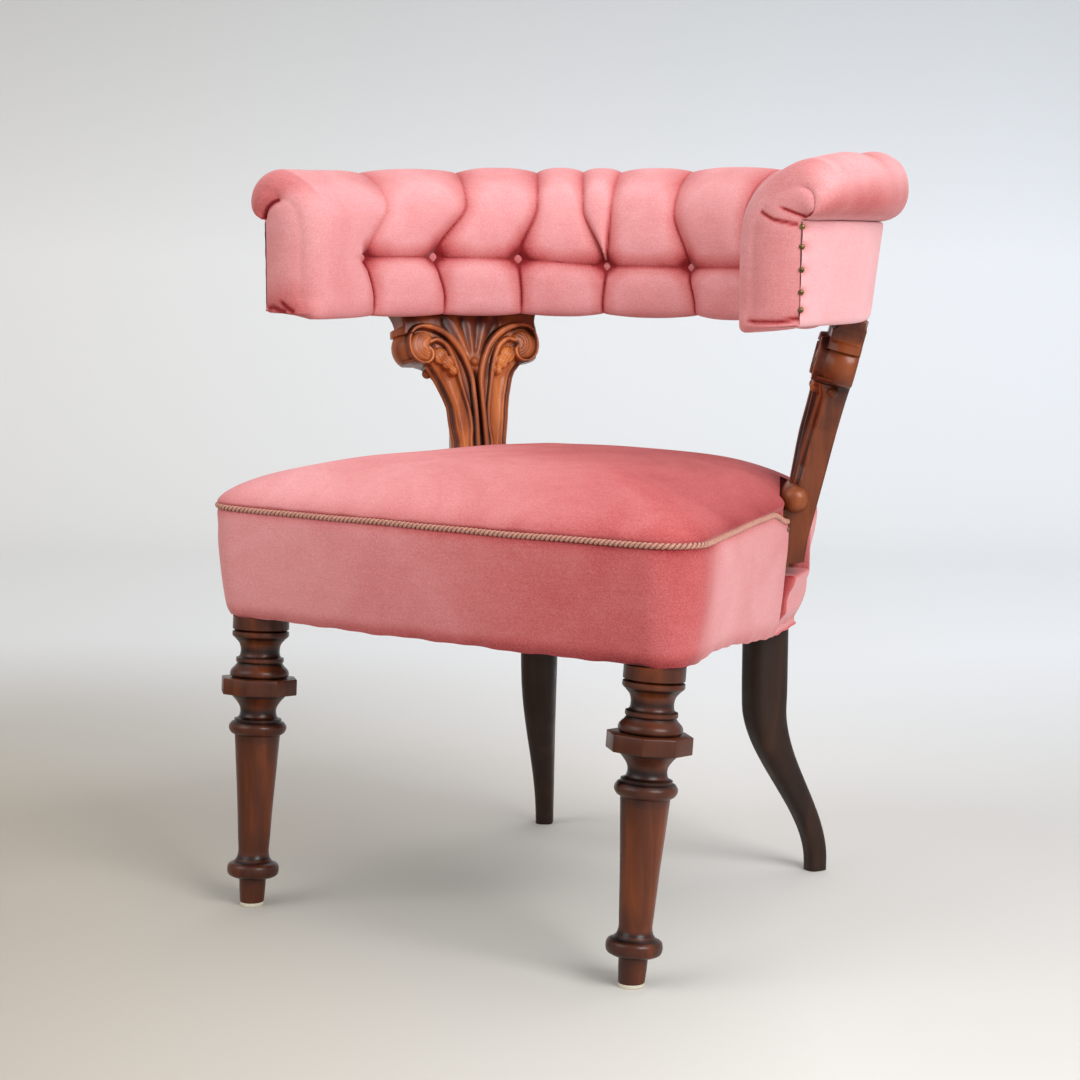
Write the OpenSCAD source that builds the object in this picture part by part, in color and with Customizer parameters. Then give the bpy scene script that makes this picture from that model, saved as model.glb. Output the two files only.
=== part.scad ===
// Library chair: a low tub chair with a buttoned horseshoe back carried on two carved uprights,
// a sprung seat with a corded edge, turned front legs and sabre rear legs.
// Millimetres, +Z up, the front faces -Y. The origin lies on the floor under the middle of the chair.

/* [Overall] */
// Height of the top of the rolled back
back_h = 760; // [720:2:800]
// Height of the seat crown
seat_h = 470; // [458:1:478]
// Width across the outer panels of the horseshoe back
bow_w = 644; // [620:2:670]
// Distance of the middle of the horseshoe in front of the origin
bow_forward = 54; // [50:1:58]
// Length of the straight arms in front of the middle of the horseshoe
arm_l = 83; // [60:1:100]

/* [Seat] */
// Width across the front corners
seat_front_w = 593; // [580:1:598]
// Distance of the sides in front of the uprights from the middle of the horseshoe
flat_reach = 236; // [235:0.5:238]
// Distance of the rear corners from the middle of the horseshoe, square to the uprights
rear_reach = 266; // [263:1:269]
// Distance of the front corners in front of the origin
seat_front_y = 281; // [276:1:284]
// Bow of the front edge in front of its corners
seat_front_bow = 6; // [4:1:10]
// Distance of the rear edge behind the origin
seat_rear_y = 178; // [176:1:182]
// Radius of the front corners
front_corner_r = 41; // [34:1:48]
// Height of the underside of the upholstered band
band_z = 299; // [298:1:302]
// Height of the cord along the top of the band
cord_z = 411; // [404:1:415]
// Thickness of the padded band
band_t = 15; // [10:1:15]
// Thickness of the twisted cord
cord_d = 5.6; // [4:0.2:6]

/* [Seat frame] */
// Height of the underside of the rails
rail_z = 305; // [304:0.5:307]
// Height of the rails
rail_h = 82; // [74:1:84]
// Thickness of the rails
rail_t = 30; // [24:1:34]
// Diameter of the dowels in the rail joints
dowel_d = 10; // [8:0.5:12]
// Wire of the seat springs
spring_wire = 3.2; // [2.4:0.2:3.6]
// Diameter of the seat springs at their ends
spring_d = 84; // [70:1:90]

/* [Back] */
// Height of the underside of the back rest
back_z = 603; // [598:1:608]
// Thickness of the back rest from its buttoned face to its outer panel
back_t = 71; // [66:1:76]
// Lean of the outer panel in towards its foot
panel_lean = 7; // [4:0.5:9]
// Reach of the roll past the outer panel
roll_over = 26; // [22:1:30]
// Height of the rolled top
roll_h = 67; // [60:1:74]
// Height of the buttons
button_z = 656; // [645:1:665]
// Diameter of the covered buttons
button_d = 13; // [10:0.5:14]
// Depth of the sewn tufts under the buttons
tuft_depth = 15; // [8:0.5:17]

/* [Uprights] */
// Turn of the uprights from the side of the chair
upright_turn = 28.5; // [27.5:0.5:29.5]
// Shift of the uprights towards the rear along their own width
upright_shift = 31; // [29:0.5:33]
// Backward lean of the uprights
upright_lean = 14; // [13:0.5:14.5]
// Thickness of the edges at the waist
upright_t = 25; // [22:1:28]
// Width at the waist
waist_w = 70; // [66:1:72]
// Width across the two volutes
capital_w = 166; // [160:1:168]
// Thickness at the volutes
capital_t = 41; // [39:1:44]
// Diameter of the volutes
volute_d = 45; // [42:1:47]

/* [Legs] */
// Distance of the front feet in from the front corners, across the chair
front_foot_in = 65.5; // [60:0.5:72]
// Distance of the front feet behind the front corners
front_foot_back = 10.2; // [7:0.1:15]
// Inward set of the tops of the front legs towards the middle
front_leg_rake = 26.5; // [18:0.5:30]
// Diameter of the eight-sided collar across its flats
collar_w = 75; // [72:1:80]
// Thickness of the felt glides
glide_t = 4; // [3:0.5:5]
// Spacing of the rear feet
rear_foot_w = 358; // [350:2:366]
// Distance of the rear feet behind the origin
rear_foot_y = 189; // [180:1:196]
// Backward sweep of the rear legs
rear_sweep = 61; // [52:1:66]
// Thickness of the rear legs at the top
rear_leg_t = 45; // [40:1:48]

/* [Hidden] */
$fn = 48;
// Overrun of every cut
over = 1;
// Clearance between soft or curved pieces that lie on each other
clear = 0.3;
// Clearance round pins and screws in their bores
fit = 0.15;

// Middle line and frame radii of the horseshoe, all measured from its middle
bow_cy = -bow_forward;
bow_r = bow_w / 2;
face_r = bow_r - back_t;
front_y = bow_cy - arm_l;
panel_t = 3.5;
rail_out_r = bow_r - panel_t - panel_lean - clear;
bow_rail_t = 27;
bow_rail_h = 30;
bow_rail_z = back_z + 3;
rail_in_r = rail_out_r - bow_rail_t;
facing_t = 3.5;
frame_front_y = front_y + facing_t + clear;
lining_t = 1.2;
pad_in_r = rail_in_r - lining_t - 2 * clear;
panel_top = back_h - roll_h - clear;
top_rail_h = 22;
top_rail_z = panel_top - top_rail_h;
top_rail_t = 22;
top_rail_out_r = bow_r - panel_t - panel_lean_at(top_rail_z) - 2 * clear;
top_rail_in_r = top_rail_out_r - top_rail_t;
post_w = 24;
post_t = 16;
post_angles = [38, 73, 107, 142];
// How far the outer panel stands in at a height
function panel_lean_at(z) = panel_lean * (panel_top - z) / (panel_top - back_z);

// Buttons stand at equal angles round the horseshoe
button_step = 22;
button_n = 9;
button_t = 5;
button_angles = [for (k = [0 : button_n - 1]) 90 + (k - (button_n - 1) / 2) * button_step];

// Rails of the seat
rail_top = rail_z + rail_h;
hessian_t = 1;
web_t = 1.2;
web_w = 50;
post_size = 76;
rear_post_x = 108;
rear_post_y = 30;

// Screws and tacks
screw_d = 5;
screw_head_d = 10;
screw_head_t = 3;
tack_d = 5.5;
tack_t = 2;

// Geometry helpers

function unit(v) = v / norm(v);
function turned(v, a) = [v[0] * cos(a) - v[1] * sin(a), v[0] * sin(a) + v[1] * cos(a)];
function angle_of(v) = atan2(v[1], v[0]);
function wrap(a) = a > 180 ? a - 360 : a < -180 ? a + 360 : a;
function smooth(t) = let (s = min(1, max(0, t))) s * s * (3 - 2 * s);
function polar(r, a) = [r * cos(a), r * sin(a)];

// Arc of n steps that rounds the corner at b between a and c
function corner_arc(a, b, c, r, n) =
    let (u = unit(a - b), v = unit(c - b), half = acos(u * v) / 2)
    let (mid = b + unit(u + v) * r / sin(half), p = b + u * r / tan(half), q = b + v * r / tan(half))
    let (turn = wrap(angle_of(q - mid) - angle_of(p - mid)))
    [for (i = [0 : n]) mid + turned(p - mid, turn * i / n)];

// Closed outline through corners given as [x, y, radius, steps]
function rounded(c) = let (n = len(c)) [
    for (i = [0 : n - 1])
        let (a = c[(i + n - 1) % n], b = c[i], d = c[(i + 1) % n])
        each corner_arc([a[0], a[1]], [b[0], b[1]], [d[0], d[1]], b[2], b[3])
];

// Closed outline drawn in by d, for an outline that runs anticlockwise
function drawn_in(p, d) = let (n = len(p)) [
    for (i = [0 : n - 1])
        let (t = unit(p[(i + 1) % n] - p[(i + n - 1) % n])) p[i] + d * [-t[1], t[0]]
];

// Ribbon outline of a given width along an open line, tapering to a share of it at the far end
function ribbon(p, w, end_share = 1) =
    let (n = len(p) - 1)
    let (side = [for (i = [0 : n])
        let (t = unit(p[min(i + 1, n)] - p[max(i - 1, 0)]))
        [-t[1], t[0]] * w / 2 * (1 + (end_share - 1) * i / n)])
    concat([for (i = [0 : n]) p[i] + side[i]], [for (i = [n : -1 : 0]) p[i] - side[i]]);

// Triangle skin through rings of points of equal number, capped at both ends.
// Each ring runs anticlockwise for someone looking back along the way.
module loft(rings) {
    n = len(rings[0]);
    m = len(rings);
    points = [for (r = rings) each r];
    skin = [for (i = [0 : m - 2], j = [0 : n - 1])
        let (a = i * n + j, b = i * n + (j + 1) % n)
        each [[a, b + n, b], [a, a + n, b + n]]];
    near_cap = [for (j = [1 : n - 2]) [0, j, j + 1]];
    far_cap = [for (j = [1 : n - 2]) [(m - 1) * n, (m - 1) * n + j + 1, (m - 1) * n + j]];
    polyhedron(points = points, faces = concat(skin, near_cap, far_cap), convexity = 8);
}

// Rings of a round tube along a line of points in space
function tube_rings(path, r, sides) = let (n = len(path) - 1) [
    for (i = [0 : n])
        let (t = unit(path[min(i + 1, n)] - path[max(i - 1, 0)]))
        let (u = unit(cross(t, abs(t[2]) > 0.9 ? [1, 0, 0] : [0, 0, 1])), v = cross(t, u))
        [for (k = [0 : sides - 1]) path[i] + r * (cos(360 * k / sides) * u + sin(360 * k / sides) * v)]
];

// Both sides of the chair
module left_side() {
    mirror([1, 0, 0]) children();
}

// Plan of the seat

upright_n = [cos(upright_turn), sin(upright_turn)];
upright_t_way = [-sin(upright_turn), cos(upright_turn)];
// Point at a reach from the middle of the horseshoe along the upright's axis and a shift across it
function by_upright(reach, along) = [0, bow_cy] + upright_n * reach + upright_t_way * (along + upright_shift);

flat_near = 38;
flat_far = 86;
side_bend_r = 120;
rear_corner_r = 40;
front_bow_r = 4000;
rear_bow_r = 1500;
function side_corner(reach, along, r, n) = let (p = by_upright(reach, along)) [p[0], p[1], r, n];

// Right half of the corners, from the middle of the front to the middle of the back
front_corners = [
    [0, -seat_front_y - seat_front_bow, front_bow_r, 6],
    [seat_front_w / 2, -seat_front_y, front_corner_r, 8]
];
plain_corners = concat(front_corners, [
    side_corner(flat_reach, -flat_near, side_bend_r, 3),
    side_corner(rear_reach, flat_far, rear_corner_r, 6),
    [0, seat_rear_y, rear_bow_r, 4]
]);
function full_corners(c) = concat(c, [for (i = [len(c) - 2 : -1 : 1]) [-c[i][0], c[i][1], c[i][2], c[i][3]]]);
seat_outline = rounded(full_corners(plain_corners));

module frame_ring(inner, outer, z, h) {
    translate([0, 0, z]) linear_extrude(h) difference() {
        polygon(drawn_in(seat_outline, outer));
        polygon(drawn_in(seat_outline, inner));
    }
}

// Frame of the seat

front_post_x = seat_front_w / 2 - band_t - post_size;
front_post_y = -seat_front_y + band_t + post_size;

module front_corner_box() {
    translate([front_post_x, front_post_y - 2 * post_size, rail_z - over])
        cube([2 * post_size, 2 * post_size, rail_h + 2 * over]);
}

module rear_corner_box() {
    translate([rear_post_x, rear_post_y, rail_z - over]) cube([seat_front_w, seat_front_w, rail_h + 2 * over]);
}

module both() {
    children();
    left_side() children();
}

module rail_ring() {
    color("burlywood") frame_ring(band_t + rail_t, band_t, rail_z, rail_h);
}

dowel_l = 34;
dowel_heights = [rail_z + rail_h * 0.28, rail_z + rail_h * 0.72];
rail_mid = band_t + rail_t / 2;
side_end = by_upright(flat_reach, -flat_near);
side_slope = (seat_front_w / 2 - side_end[0]) / (seat_front_y + side_end[1]);
function side_x(y) = side_end[0] + (side_end[1] - y) * side_slope - rail_mid;
rear_rail_y = by_upright(rear_reach, flat_far)[1] - rail_mid;

// Dowels across the joints between the rails and the corner posts
module dowel_set(grow) {
    for (z = dowel_heights) {
        translate([front_post_x, -seat_front_y + rail_mid, z]) rotate([0, 90, 0]) dowel(grow);
        translate([side_x(front_post_y), front_post_y, z]) rotate([90, 0, 0]) dowel(grow);
        translate([side_x(rear_post_y), rear_post_y, z]) rotate([90, 0, 0]) dowel(grow);
        translate([rear_post_x, rear_rail_y, z]) rotate([0, 90, 0]) dowel(grow);
    }
}

module dowel(grow) {
    cylinder(d = dowel_d + 2 * grow, h = dowel_l + 2 * grow, center = true);
}

module front_rail() {
    color("burlywood") difference() {
        intersection() {
            rail_ring();
            translate([-front_post_x, -2 * seat_front_y, 0])
                cube([2 * front_post_x, 2 * seat_front_y + front_post_y, back_h]);
        }
        both() dowel_set(fit);
    }
}

module right_rail_shape() {
    color("burlywood") difference() {
        intersection() {
            rail_ring();
            translate([0, front_post_y, 0]) cube([seat_front_w, rear_post_y - front_post_y, back_h]);
        }
        dowel_set(fit);
    }
}

module right_rail() {
    right_rail_shape();
}

module left_rail() {
    left_side() right_rail_shape();
}

module back_rail() {
    color("burlywood") difference() {
        intersection() {
            rail_ring();
            translate([-rear_post_x, 0, 0]) cube([2 * rear_post_x, seat_front_w, back_h]);
        }
        both() dowel_set(fit);
    }
}

front_tenon_d = 24;
front_tenon_l = 42;
rear_tenon_d = 20;
rear_tenon_l = 40;

module front_corner_posts() {
    both() color("burlywood") difference() {
        intersection() {
            translate([0, 0, rail_z]) linear_extrude(rail_h) polygon(drawn_in(seat_outline, band_t));
            front_corner_box();
        }
        front_leg_place() cylinder(d = front_tenon_d + 2 * fit, h = rail_z + front_tenon_l + over);
        dowel_set(fit);
    }
}

module rear_corner_posts() {
    both() color("burlywood") difference() {
        intersection() {
            translate([0, 0, rail_z]) linear_extrude(rail_h) polygon(drawn_in(seat_outline, band_t));
            rear_corner_box();
        }
        rear_tenon(fit, over);
        dowel_set(fit);
        tail_room(fit);
        tail_screw_set(fit);
    }
}

module rail_dowels() {
    color("tan") both() dowel_set(0);
}

// Turned front legs

front_foot_x = seat_front_w / 2 - front_foot_in;
front_foot_y = seat_front_y - front_foot_back;
front_lean_x = 6;
leg_h = band_z - clear;
front_tilt = atan(front_leg_rake / leg_h);
front_toe = atan(front_lean_x / leg_h);

module front_leg_place() {
    translate([front_foot_x, -front_foot_y, 0]) rotate([-front_tilt, front_toe, 0]) children();
}

// Turned outline of the front leg as [share of the widest radius, share of the height]
turning_shares = [
    [0.43, 0.0], [0.49, 0.098], [0.76, 0.098], [0.90, 0.108], [0.945, 0.126], [0.90, 0.142], [0.70, 0.152],
    [0.60, 0.166], [0.56, 0.182], [0.66, 0.360], [0.82, 0.576], [0.83, 0.590], [0.96, 0.596], [1.045, 0.609],
    [1.045, 0.622], [0.96, 0.634], [0.86, 0.638], [0.86, 0.645], [0.70, 0.652], [0.66, 0.668], [0.68, 0.686],
    [0.80, 0.705], [1.0, 0.726], [1.0, 0.788], [1.07, 0.796], [1.05, 0.812], [0.90, 0.828], [0.82, 0.838],
    [0.87, 0.845], [0.87, 0.855], [0.76, 0.860], [0.72, 0.880], [0.76, 0.903], [0.92, 0.922],
    [1.03, 0.934], [1.03, 0.946], [0.93, 0.950], [1.03, 0.956], [1.03, 1.02], [0, 1.02]
];
turning_r = collar_w * 0.373;
collar_z_shares = [0.732, 0.787];

module front_leg_shape() {
    color("saddlebrown") union() {
        difference() {
            front_leg_place() union() {
                rotate_extrude() polygon(concat([[0, 0]],
                    [for (p = turning_shares) [p[0] * turning_r, p[1] * leg_h]]));
                translate([0, 0, collar_z_shares[0] * leg_h]) rotate([0, 0, 22.5])
                    cylinder(d = collar_w / cos(22.5), $fn = 8,
                        h = (collar_z_shares[1] - collar_z_shares[0]) * leg_h);
            }
            translate([0, -seat_front_w, leg_h]) cube([seat_front_w, seat_front_w, back_h]);
            translate([0, -seat_front_w, glide_t - back_h]) cube([seat_front_w, seat_front_w, back_h]);
        }
        difference() {
            front_leg_place() translate([0, 0, leg_h * 0.95]) cylinder(r = turning_r * 0.6, h = leg_h * 0.1);
            translate([0, -seat_front_w, rail_z]) cube([seat_front_w, seat_front_w, back_h]);
        }
        front_leg_place() translate([0, 0, leg_h * 0.95])
            cylinder(d = front_tenon_d, h = rail_z - leg_h * 0.95 + front_tenon_l);
    }
}

module front_leg_right() {
    front_leg_shape();
}

module front_leg_left() {
    left_side() front_leg_shape();
}

glide_d = turning_r * 0.96;

module front_glide_shape() {
    color("antiquewhite") translate([front_foot_x, -front_foot_y, 0]) cylinder(d = glide_d, h = glide_t);
}

module front_glide_right() {
    front_glide_shape();
}

module front_glide_left() {
    left_side() front_glide_shape();
}

// Sabre rear legs

rear_out = 33;
rear_across_share = 0.9;
rear_foot_share = 0.5;
rear_top_x = rear_foot_w / 2 - rear_out;
rear_top_y = rear_foot_y - rear_sweep;
sweep_low_share = 0.033;
sweep_span_share = 0.6;
rear_steps = 14;
rear_sides = 16;

function rear_leg_middle(share) =
    let (s = smooth((share - sweep_low_share) / sweep_span_share))
    [rear_foot_w / 2 - rear_out * s, rear_foot_y - rear_sweep * s];
// Half width of the leg, full at the top and drawn in towards the foot
function rear_leg_half(share) = rear_leg_t / 2
    * (rear_foot_share + (1 - rear_foot_share) * smooth(share * 1.35 + 0.02));
// Squarish section as a superellipse, turned to face along the sweep
function rear_section(half, sides) = [for (k = [0 : sides - 1])
    let (a = 360 * (k + 0.5) / sides, c = cos(a), s = sin(a))
    let (q = pow(pow(abs(c), rear_square) + pow(abs(s), rear_square), -1 / rear_square))
    turned([half * q * c * rear_across_share, half * q * s], rear_turn)];
rear_turn = -28;
rear_square = 3.2;
rear_shoulder_in = 14;

module rear_leg_shape() {
    color("saddlebrown") union() {
        loft([for (i = [0 : rear_steps])
            let (share = i / rear_steps, m = rear_leg_middle(share))
            [for (p = rear_section(rear_leg_half(share), rear_sides))
                [m[0] + p[0], m[1] + p[1], share * leg_h]]]);
        translate([rear_top_x - upright_n[0] * rear_shoulder_in, rear_top_y - upright_n[1] * rear_shoulder_in,
            leg_h - over]) cylinder(d = rear_leg_t * 0.66, h = rail_z - leg_h + over);
        rear_tenon(0, 0);
    }
}

module rear_tenon(grow, more) {
    translate([rear_top_x - upright_n[0] * rear_shoulder_in, rear_top_y - upright_n[1] * rear_shoulder_in,
        leg_h - over]) cylinder(d = rear_tenon_d + 2 * grow, h = rail_z - leg_h + over + rear_tenon_l + more);
}

module rear_leg_right() {
    rear_leg_shape();
}

module rear_leg_left() {
    left_side() rear_leg_shape();
}

// Carved uprights
// Local axes: x across the board, y outwards from the carved face, z up the leaning board.
// The local origin lies on the outer face at the height upright_z0.

upright_z0 = 460;
upright_r0 = 277;

module upright_place() {
    translate([0, bow_cy, upright_z0]) rotate([0, 0, upright_turn - 90])
        translate([-upright_shift, upright_r0, 0]) rotate([-upright_lean, 0, 0]) children();
}

// Point of the leaning board's side view for a reach from the middle of the horseshoe and a height
function on_board(r, z) = let (dr = r - upright_r0, dz = z - upright_z0) [
    dr * cos(upright_lean) - dz * sin(upright_lean),
    dr * sin(upright_lean) + dz * cos(upright_lean)
];

board_top = (bow_rail_z - upright_z0) / cos(upright_lean);
volute_z = board_top - volute_d * 1.15;
volute_x = capital_w / 2 - volute_d / 2;
block_w = capital_w * 0.98;
block_back = 8;
block_neck_in = 6;
block_t = capital_t - block_back;
block_h = 15;
rib_rise = 7;
neck_swell = 2;
panel_in = 6;
panel_rise = rib_rise - neck_swell;
volute_lip = 4;
curl_rise = 2;
eye_sink = 3;
flute_sink = 1;
scroll_r = 15;
scroll_z = 421;
scroll_in = 24;
scroll_reach = upright_r0 + (scroll_z - upright_z0) * tan(upright_lean) - scroll_in;
tail_bend_z = 380;
tail_low_z = 343;
tail_end_z = 355;
tail_out_reach = 251.5;
tail_bend_reach = upright_r0 + (tail_bend_z - upright_z0) * tan(upright_lean);
tail_in_reach = 228;
tail_w = 62;

// Side view of the board for a thickness of the shaft and one of the capital
module upright_side(shaft_t, head_t) {
    upper = board_top + 2 * volute_d;
    polygon([
        on_board(tail_in_reach, tail_low_z), on_board(tail_out_reach, tail_end_z),
        on_board(tail_bend_reach, tail_bend_z), [0, upper],
        [-head_t, upper], [-head_t, volute_z + volute_d * 0.3],
        [-shaft_t - neck_swell, volute_z - volute_d * 0.5], [-shaft_t, volute_z - volute_d],
        [-shaft_t, 0],
        on_board(scroll_reach - scroll_r * 0.85, scroll_z - scroll_r * 0.5),
        on_board(tail_in_reach, scroll_z - scroll_r)
    ]);
}

// Level axes of the upright: x outwards from the middle of the horseshoe, y across the board
module level_place() {
    translate([0, bow_cy, 0]) rotate([0, 0, upright_turn]) translate([0, upright_shift, 0]) children();
}

// Room for the tail of the upright in the frame and the bands
module tail_room(grow) {
    level_place() translate([tail_in_reach - grow, -tail_w / 2 - grow, tail_low_z - grow])
        cube([post_size, tail_w + 2 * grow, back_z - tail_low_z]);
}

// Half outline of the board seen from the front, from the tail up to the block over the volutes
function upright_half(inset) = let (
    w = waist_w / 2 - inset,
    low = on_board(tail_in_reach, tail_low_z)[1] - over,
    neck = volute_z - volute_d * 0.42,
    swell = capital_w / 2 - volute_d * 0.62 - inset,
    foot = tail_w / 2 - inset
) concat(
    [[foot * 0.86, low], [foot, -scroll_r * 4.6], [foot, -scroll_r * 3.4], [w, -scroll_r * 2], [w, 0]],
    [for (i = [1 : 8]) let (t = i / 8) [w + (swell - w) * pow(t, 2.6), neck * t]],
    [[volute_x - inset, volute_z], [block_w / 2 - block_neck_in - inset, board_top - block_h],
        [block_w / 2 - block_neck_in * 0.8 - inset, board_top - block_h * 0.6],
        [block_w / 2 - inset, board_top - block_h * 0.25],
        [block_w / 2 - inset, board_top + volute_d]]
);

module upright_front(inset) {
    half = upright_half(inset);
    polygon(concat(half, [for (i = [len(half) - 1 : -1 : 0]) [-half[i][0], half[i][1]]]));
}

module upright_board(shaft_t, head_t, inset) {
    intersection() {
        rotate([90, 0, 90]) translate([0, 0, -capital_w])
            linear_extrude(2 * capital_w) upright_side(shaft_t, head_t);
        rotate([90, 0, 0]) translate([0, 0, -capital_t])
            linear_extrude(3 * capital_t) upright_front(inset);
    }
}

rib_w = 8;
flute_r = 6;
flute_splay = 3;
leaf_r = 7;
bead_r = 4;
fan_n = 5;
fan_turn = 13;
fan_near = volute_d * 0.27;
fan_far = volute_d * 0.76;
fan_r_share = 0.1;
rib_turn_steps = 16;
rib_start = 118;
rib_foot = -scroll_r * 0.4;

// Line of the main rib from the V at the waist up over the volute, then curling into it
function rib_rise_line() = let (x0 = rib_w * 0.75, entry = [volute_x, volute_z] + polar(volute_d * 0.46, rib_start)) [
    for (i = [0 : 8]) let (t = i / 8)
        [x0 + (entry[0] - x0) * pow(t, 2.6), rib_foot + (entry[1] - rib_foot) * (t * 1.08 - 0.08 * t * t)]
];
function rib_curl_line() = [
    for (i = [0 : rib_turn_steps]) let (t = i / rib_turn_steps)
        [volute_x, volute_z] + polar(volute_d * 0.46 * (1 - 0.62 * t), rib_start - 430 * t)
];

// Carving of one half of the front face
module upright_carving() {
    rotate([90, 0, 0]) translate([0, 0, upright_t - over]) linear_extrude(rib_rise + over)
        polygon(ribbon(rib_rise_line(), rib_w));
    rotate([90, 0, 0]) translate([0, 0, upright_t + rib_rise - over])
        linear_extrude(capital_t - curl_rise - upright_t - rib_rise + over)
        polygon(ribbon([for (i = [5 : 8]) rib_rise_line()[i]], rib_w));
    rotate([90, 0, 0]) translate([0, 0, capital_t - curl_rise - over]) linear_extrude(curl_rise + over)
        polygon(ribbon(rib_curl_line(), rib_w * 0.6, 0.7));
    translate([volute_x, -capital_t + eye_sink, volute_z]) sphere(d = volute_d * 0.24);
    for (k = [0 : 3]) {
        p = [volute_x, volute_z] + polar(volute_d * 0.56, 205 + 24 * k);
        translate([p[0], -upright_t - neck_swell, p[1]]) sphere(r = leaf_r * (1 - 0.14 * k));
    }
}

// All that lies farther than r from the middle of the horseshoe, above z
module bow_trim(r, z) {
    translate([0, bow_cy, z]) difference() {
        cylinder(r = bow_w, h = back_h);
        translate([0, 0, -over]) cylinder(r = r, h = back_h + 2 * over);
    }
}

module upright_shape() {
    color("saddlebrown") difference() {
        upright_place() difference() {
            union() {
                upright_board(upright_t, block_t, 0);
                upright_board(upright_t + panel_rise, block_t, panel_in);
                for (s = [-1, 1]) translate([s * volute_x, 0, volute_z]) rotate([90, 0, 0]) {
                    cylinder(d = volute_d, h = capital_t - volute_lip);
                    translate([0, 0, capital_t - volute_lip])
                        cylinder(d1 = volute_d, d2 = volute_d - volute_lip, h = volute_lip / 2);
                }
                for (s = [0, 1]) mirror([s, 0, 0]) upright_carving();
                translate([0, -upright_t - rib_rise, volute_z - volute_d * 0.3]) sphere(r = bead_r);
                scroll_p = on_board(scroll_reach, scroll_z);
                translate([0, scroll_p[0], scroll_p[1]]) {
                    rotate([0, 90, 0]) cylinder(r = scroll_r, h = waist_w - scroll_r, center = true);
                    for (s = [-1, 1]) translate([s * (waist_w / 2 - scroll_r * 0.5), 0, 0]) sphere(r = scroll_r);
                }
            }
            // Hollow flutes up the shaft
            for (s = [-1, 1]) translate([s * waist_w * 0.3, -upright_t - rib_rise + flute_sink, 0])
                rotate([0, s * flute_splay, 0]) {
                    cylinder(r = flute_r, h = volute_z * 0.6);
                    for (z = [0, volute_z * 0.6]) translate([0, 0, z]) sphere(r = flute_r);
                }
            // Fan of small flutes over the bead
            for (k = [0 : fan_n - 1]) translate([0, -block_t, volute_z - volute_d * 0.1])
                rotate([0, (k - (fan_n - 1) / 2) * fan_turn, 0]) translate([0, 0, fan_near])
                    cylinder(r1 = fan_near * fan_r_share, r2 = fan_far * fan_r_share, h = fan_far - fan_near);
        }
        // Level top against the lower rail of the back, a little lower under the pad, trimmed to the bow behind
        translate([-bow_w, -bow_w, bow_rail_z]) cube([2 * bow_w, 2 * bow_w, back_h]);
        translate([0, bow_cy, back_z - clear]) cylinder(r = rail_in_r, h = back_h);
        bow_trim(bow_r - panel_lean, upright_z0);
        bow_trim(rail_out_r, back_z - clear);
        capital_screw_set(fit);
        tail_screw_set(fit);
    }
}

module upright_right() {
    upright_shape();
}

module upright_left() {
    left_side() upright_shape();
}

tail_screw_l = 58;
tail_screw_bite = 18;
tail_screw_heights = [rail_z + rail_h * 0.6, rail_z + rail_h * 0.86];

// Two screws from inside the rear post into the tail of the upright
module tail_screw_set(grow) {
    for (z = tail_screw_heights)
        level_place() translate([tail_in_reach + tail_screw_bite - tail_screw_l, 0, z]) rotate([0, 90, 0]) {
                cylinder(d = screw_d + 2 * grow, h = tail_screw_l + grow);
                translate([0, 0, -post_size * 2 * sign(grow)])
                    cylinder(d = screw_head_d + 2 * grow, h = screw_head_t + post_size * 2 * sign(grow));
            }
}

module tail_screws() {
    color("goldenrod") both() tail_screw_set(0);
}

capital_screw_l = 46;
capital_screw_x = 28;
capital_screw_in = 12;

// Two screws down through the lower rail of the back into the capital
module capital_screw_set(grow) {
    level_place() for (s = [-1, 1])
        translate([rail_in_r + capital_screw_in, s * capital_screw_x - upright_shift * 0.5,
            bow_rail_z + bow_rail_h]) {
                translate([0, 0, -capital_screw_l]) cylinder(d = screw_d + 2 * grow, h = capital_screw_l);
                translate([0, 0, -screw_head_t])
                    cylinder(d = screw_head_d + 2 * grow, h = screw_head_t + grow * 4);
        }
}

module capital_screws() {
    color("goldenrod") both() capital_screw_set(0);
}

// Springing and linings of the seat

web_n = 3;
cross_web_n = 4;
spring_spread_x = 80;
spring_spread_y = 76;
web_mid_y = -90;

module webbing_lengthwise() {
    color("wheat") intersection() {
        translate([0, 0, rail_z - web_t]) linear_extrude(web_t)
            polygon(drawn_in(seat_outline, band_t + rail_t * 0.3));
        union() for (k = [0 : web_n - 1])
            translate([(k - (web_n - 1) / 2) * spring_spread_x - web_w / 2, -seat_front_w, 0])
                cube([web_w, 2 * seat_front_w, back_h]);
    }
}

module webbing_crosswise() {
    color("wheat") intersection() {
        translate([0, 0, rail_z - 2 * web_t]) linear_extrude(web_t)
            polygon(drawn_in(seat_outline, band_t + rail_t * 0.3));
        union() for (k = [0 : cross_web_n - 1])
            translate([-seat_front_w, web_mid_y + (k - 1) * spring_spread_y - web_w / 2, 0])
                cube([2 * seat_front_w, web_w, back_h]);
    }
}

module leg_top_room() {
    front_leg_place() cylinder(r = turning_r * 0.6 + 2 * fit + over, h = back_h);
    translate([rear_top_x - upright_n[0] * rear_shoulder_in, rear_top_y - upright_n[1] * rear_shoulder_in, 0])
        cylinder(d = rear_leg_t * 0.66 + 2 * over, h = back_h);
}

module dust_cover() {
    color("dimgray") difference() {
        translate([0, 0, rail_z - 2 * web_t - hessian_t]) linear_extrude(hessian_t)
            polygon(drawn_in(seat_outline, band_t + clear));
        both() leg_top_room();
    }
}

spring_turns = 4;
spring_waist_share = 0.68;
spring_ring_n = 8;
spring_low = rail_z + spring_wire / 2 + clear;
spring_high = rail_top - spring_wire / 2 - clear;
spring_places = [[-1, -1], [1, -1], [0, 0], [-1, 1], [1, 1]];

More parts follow.
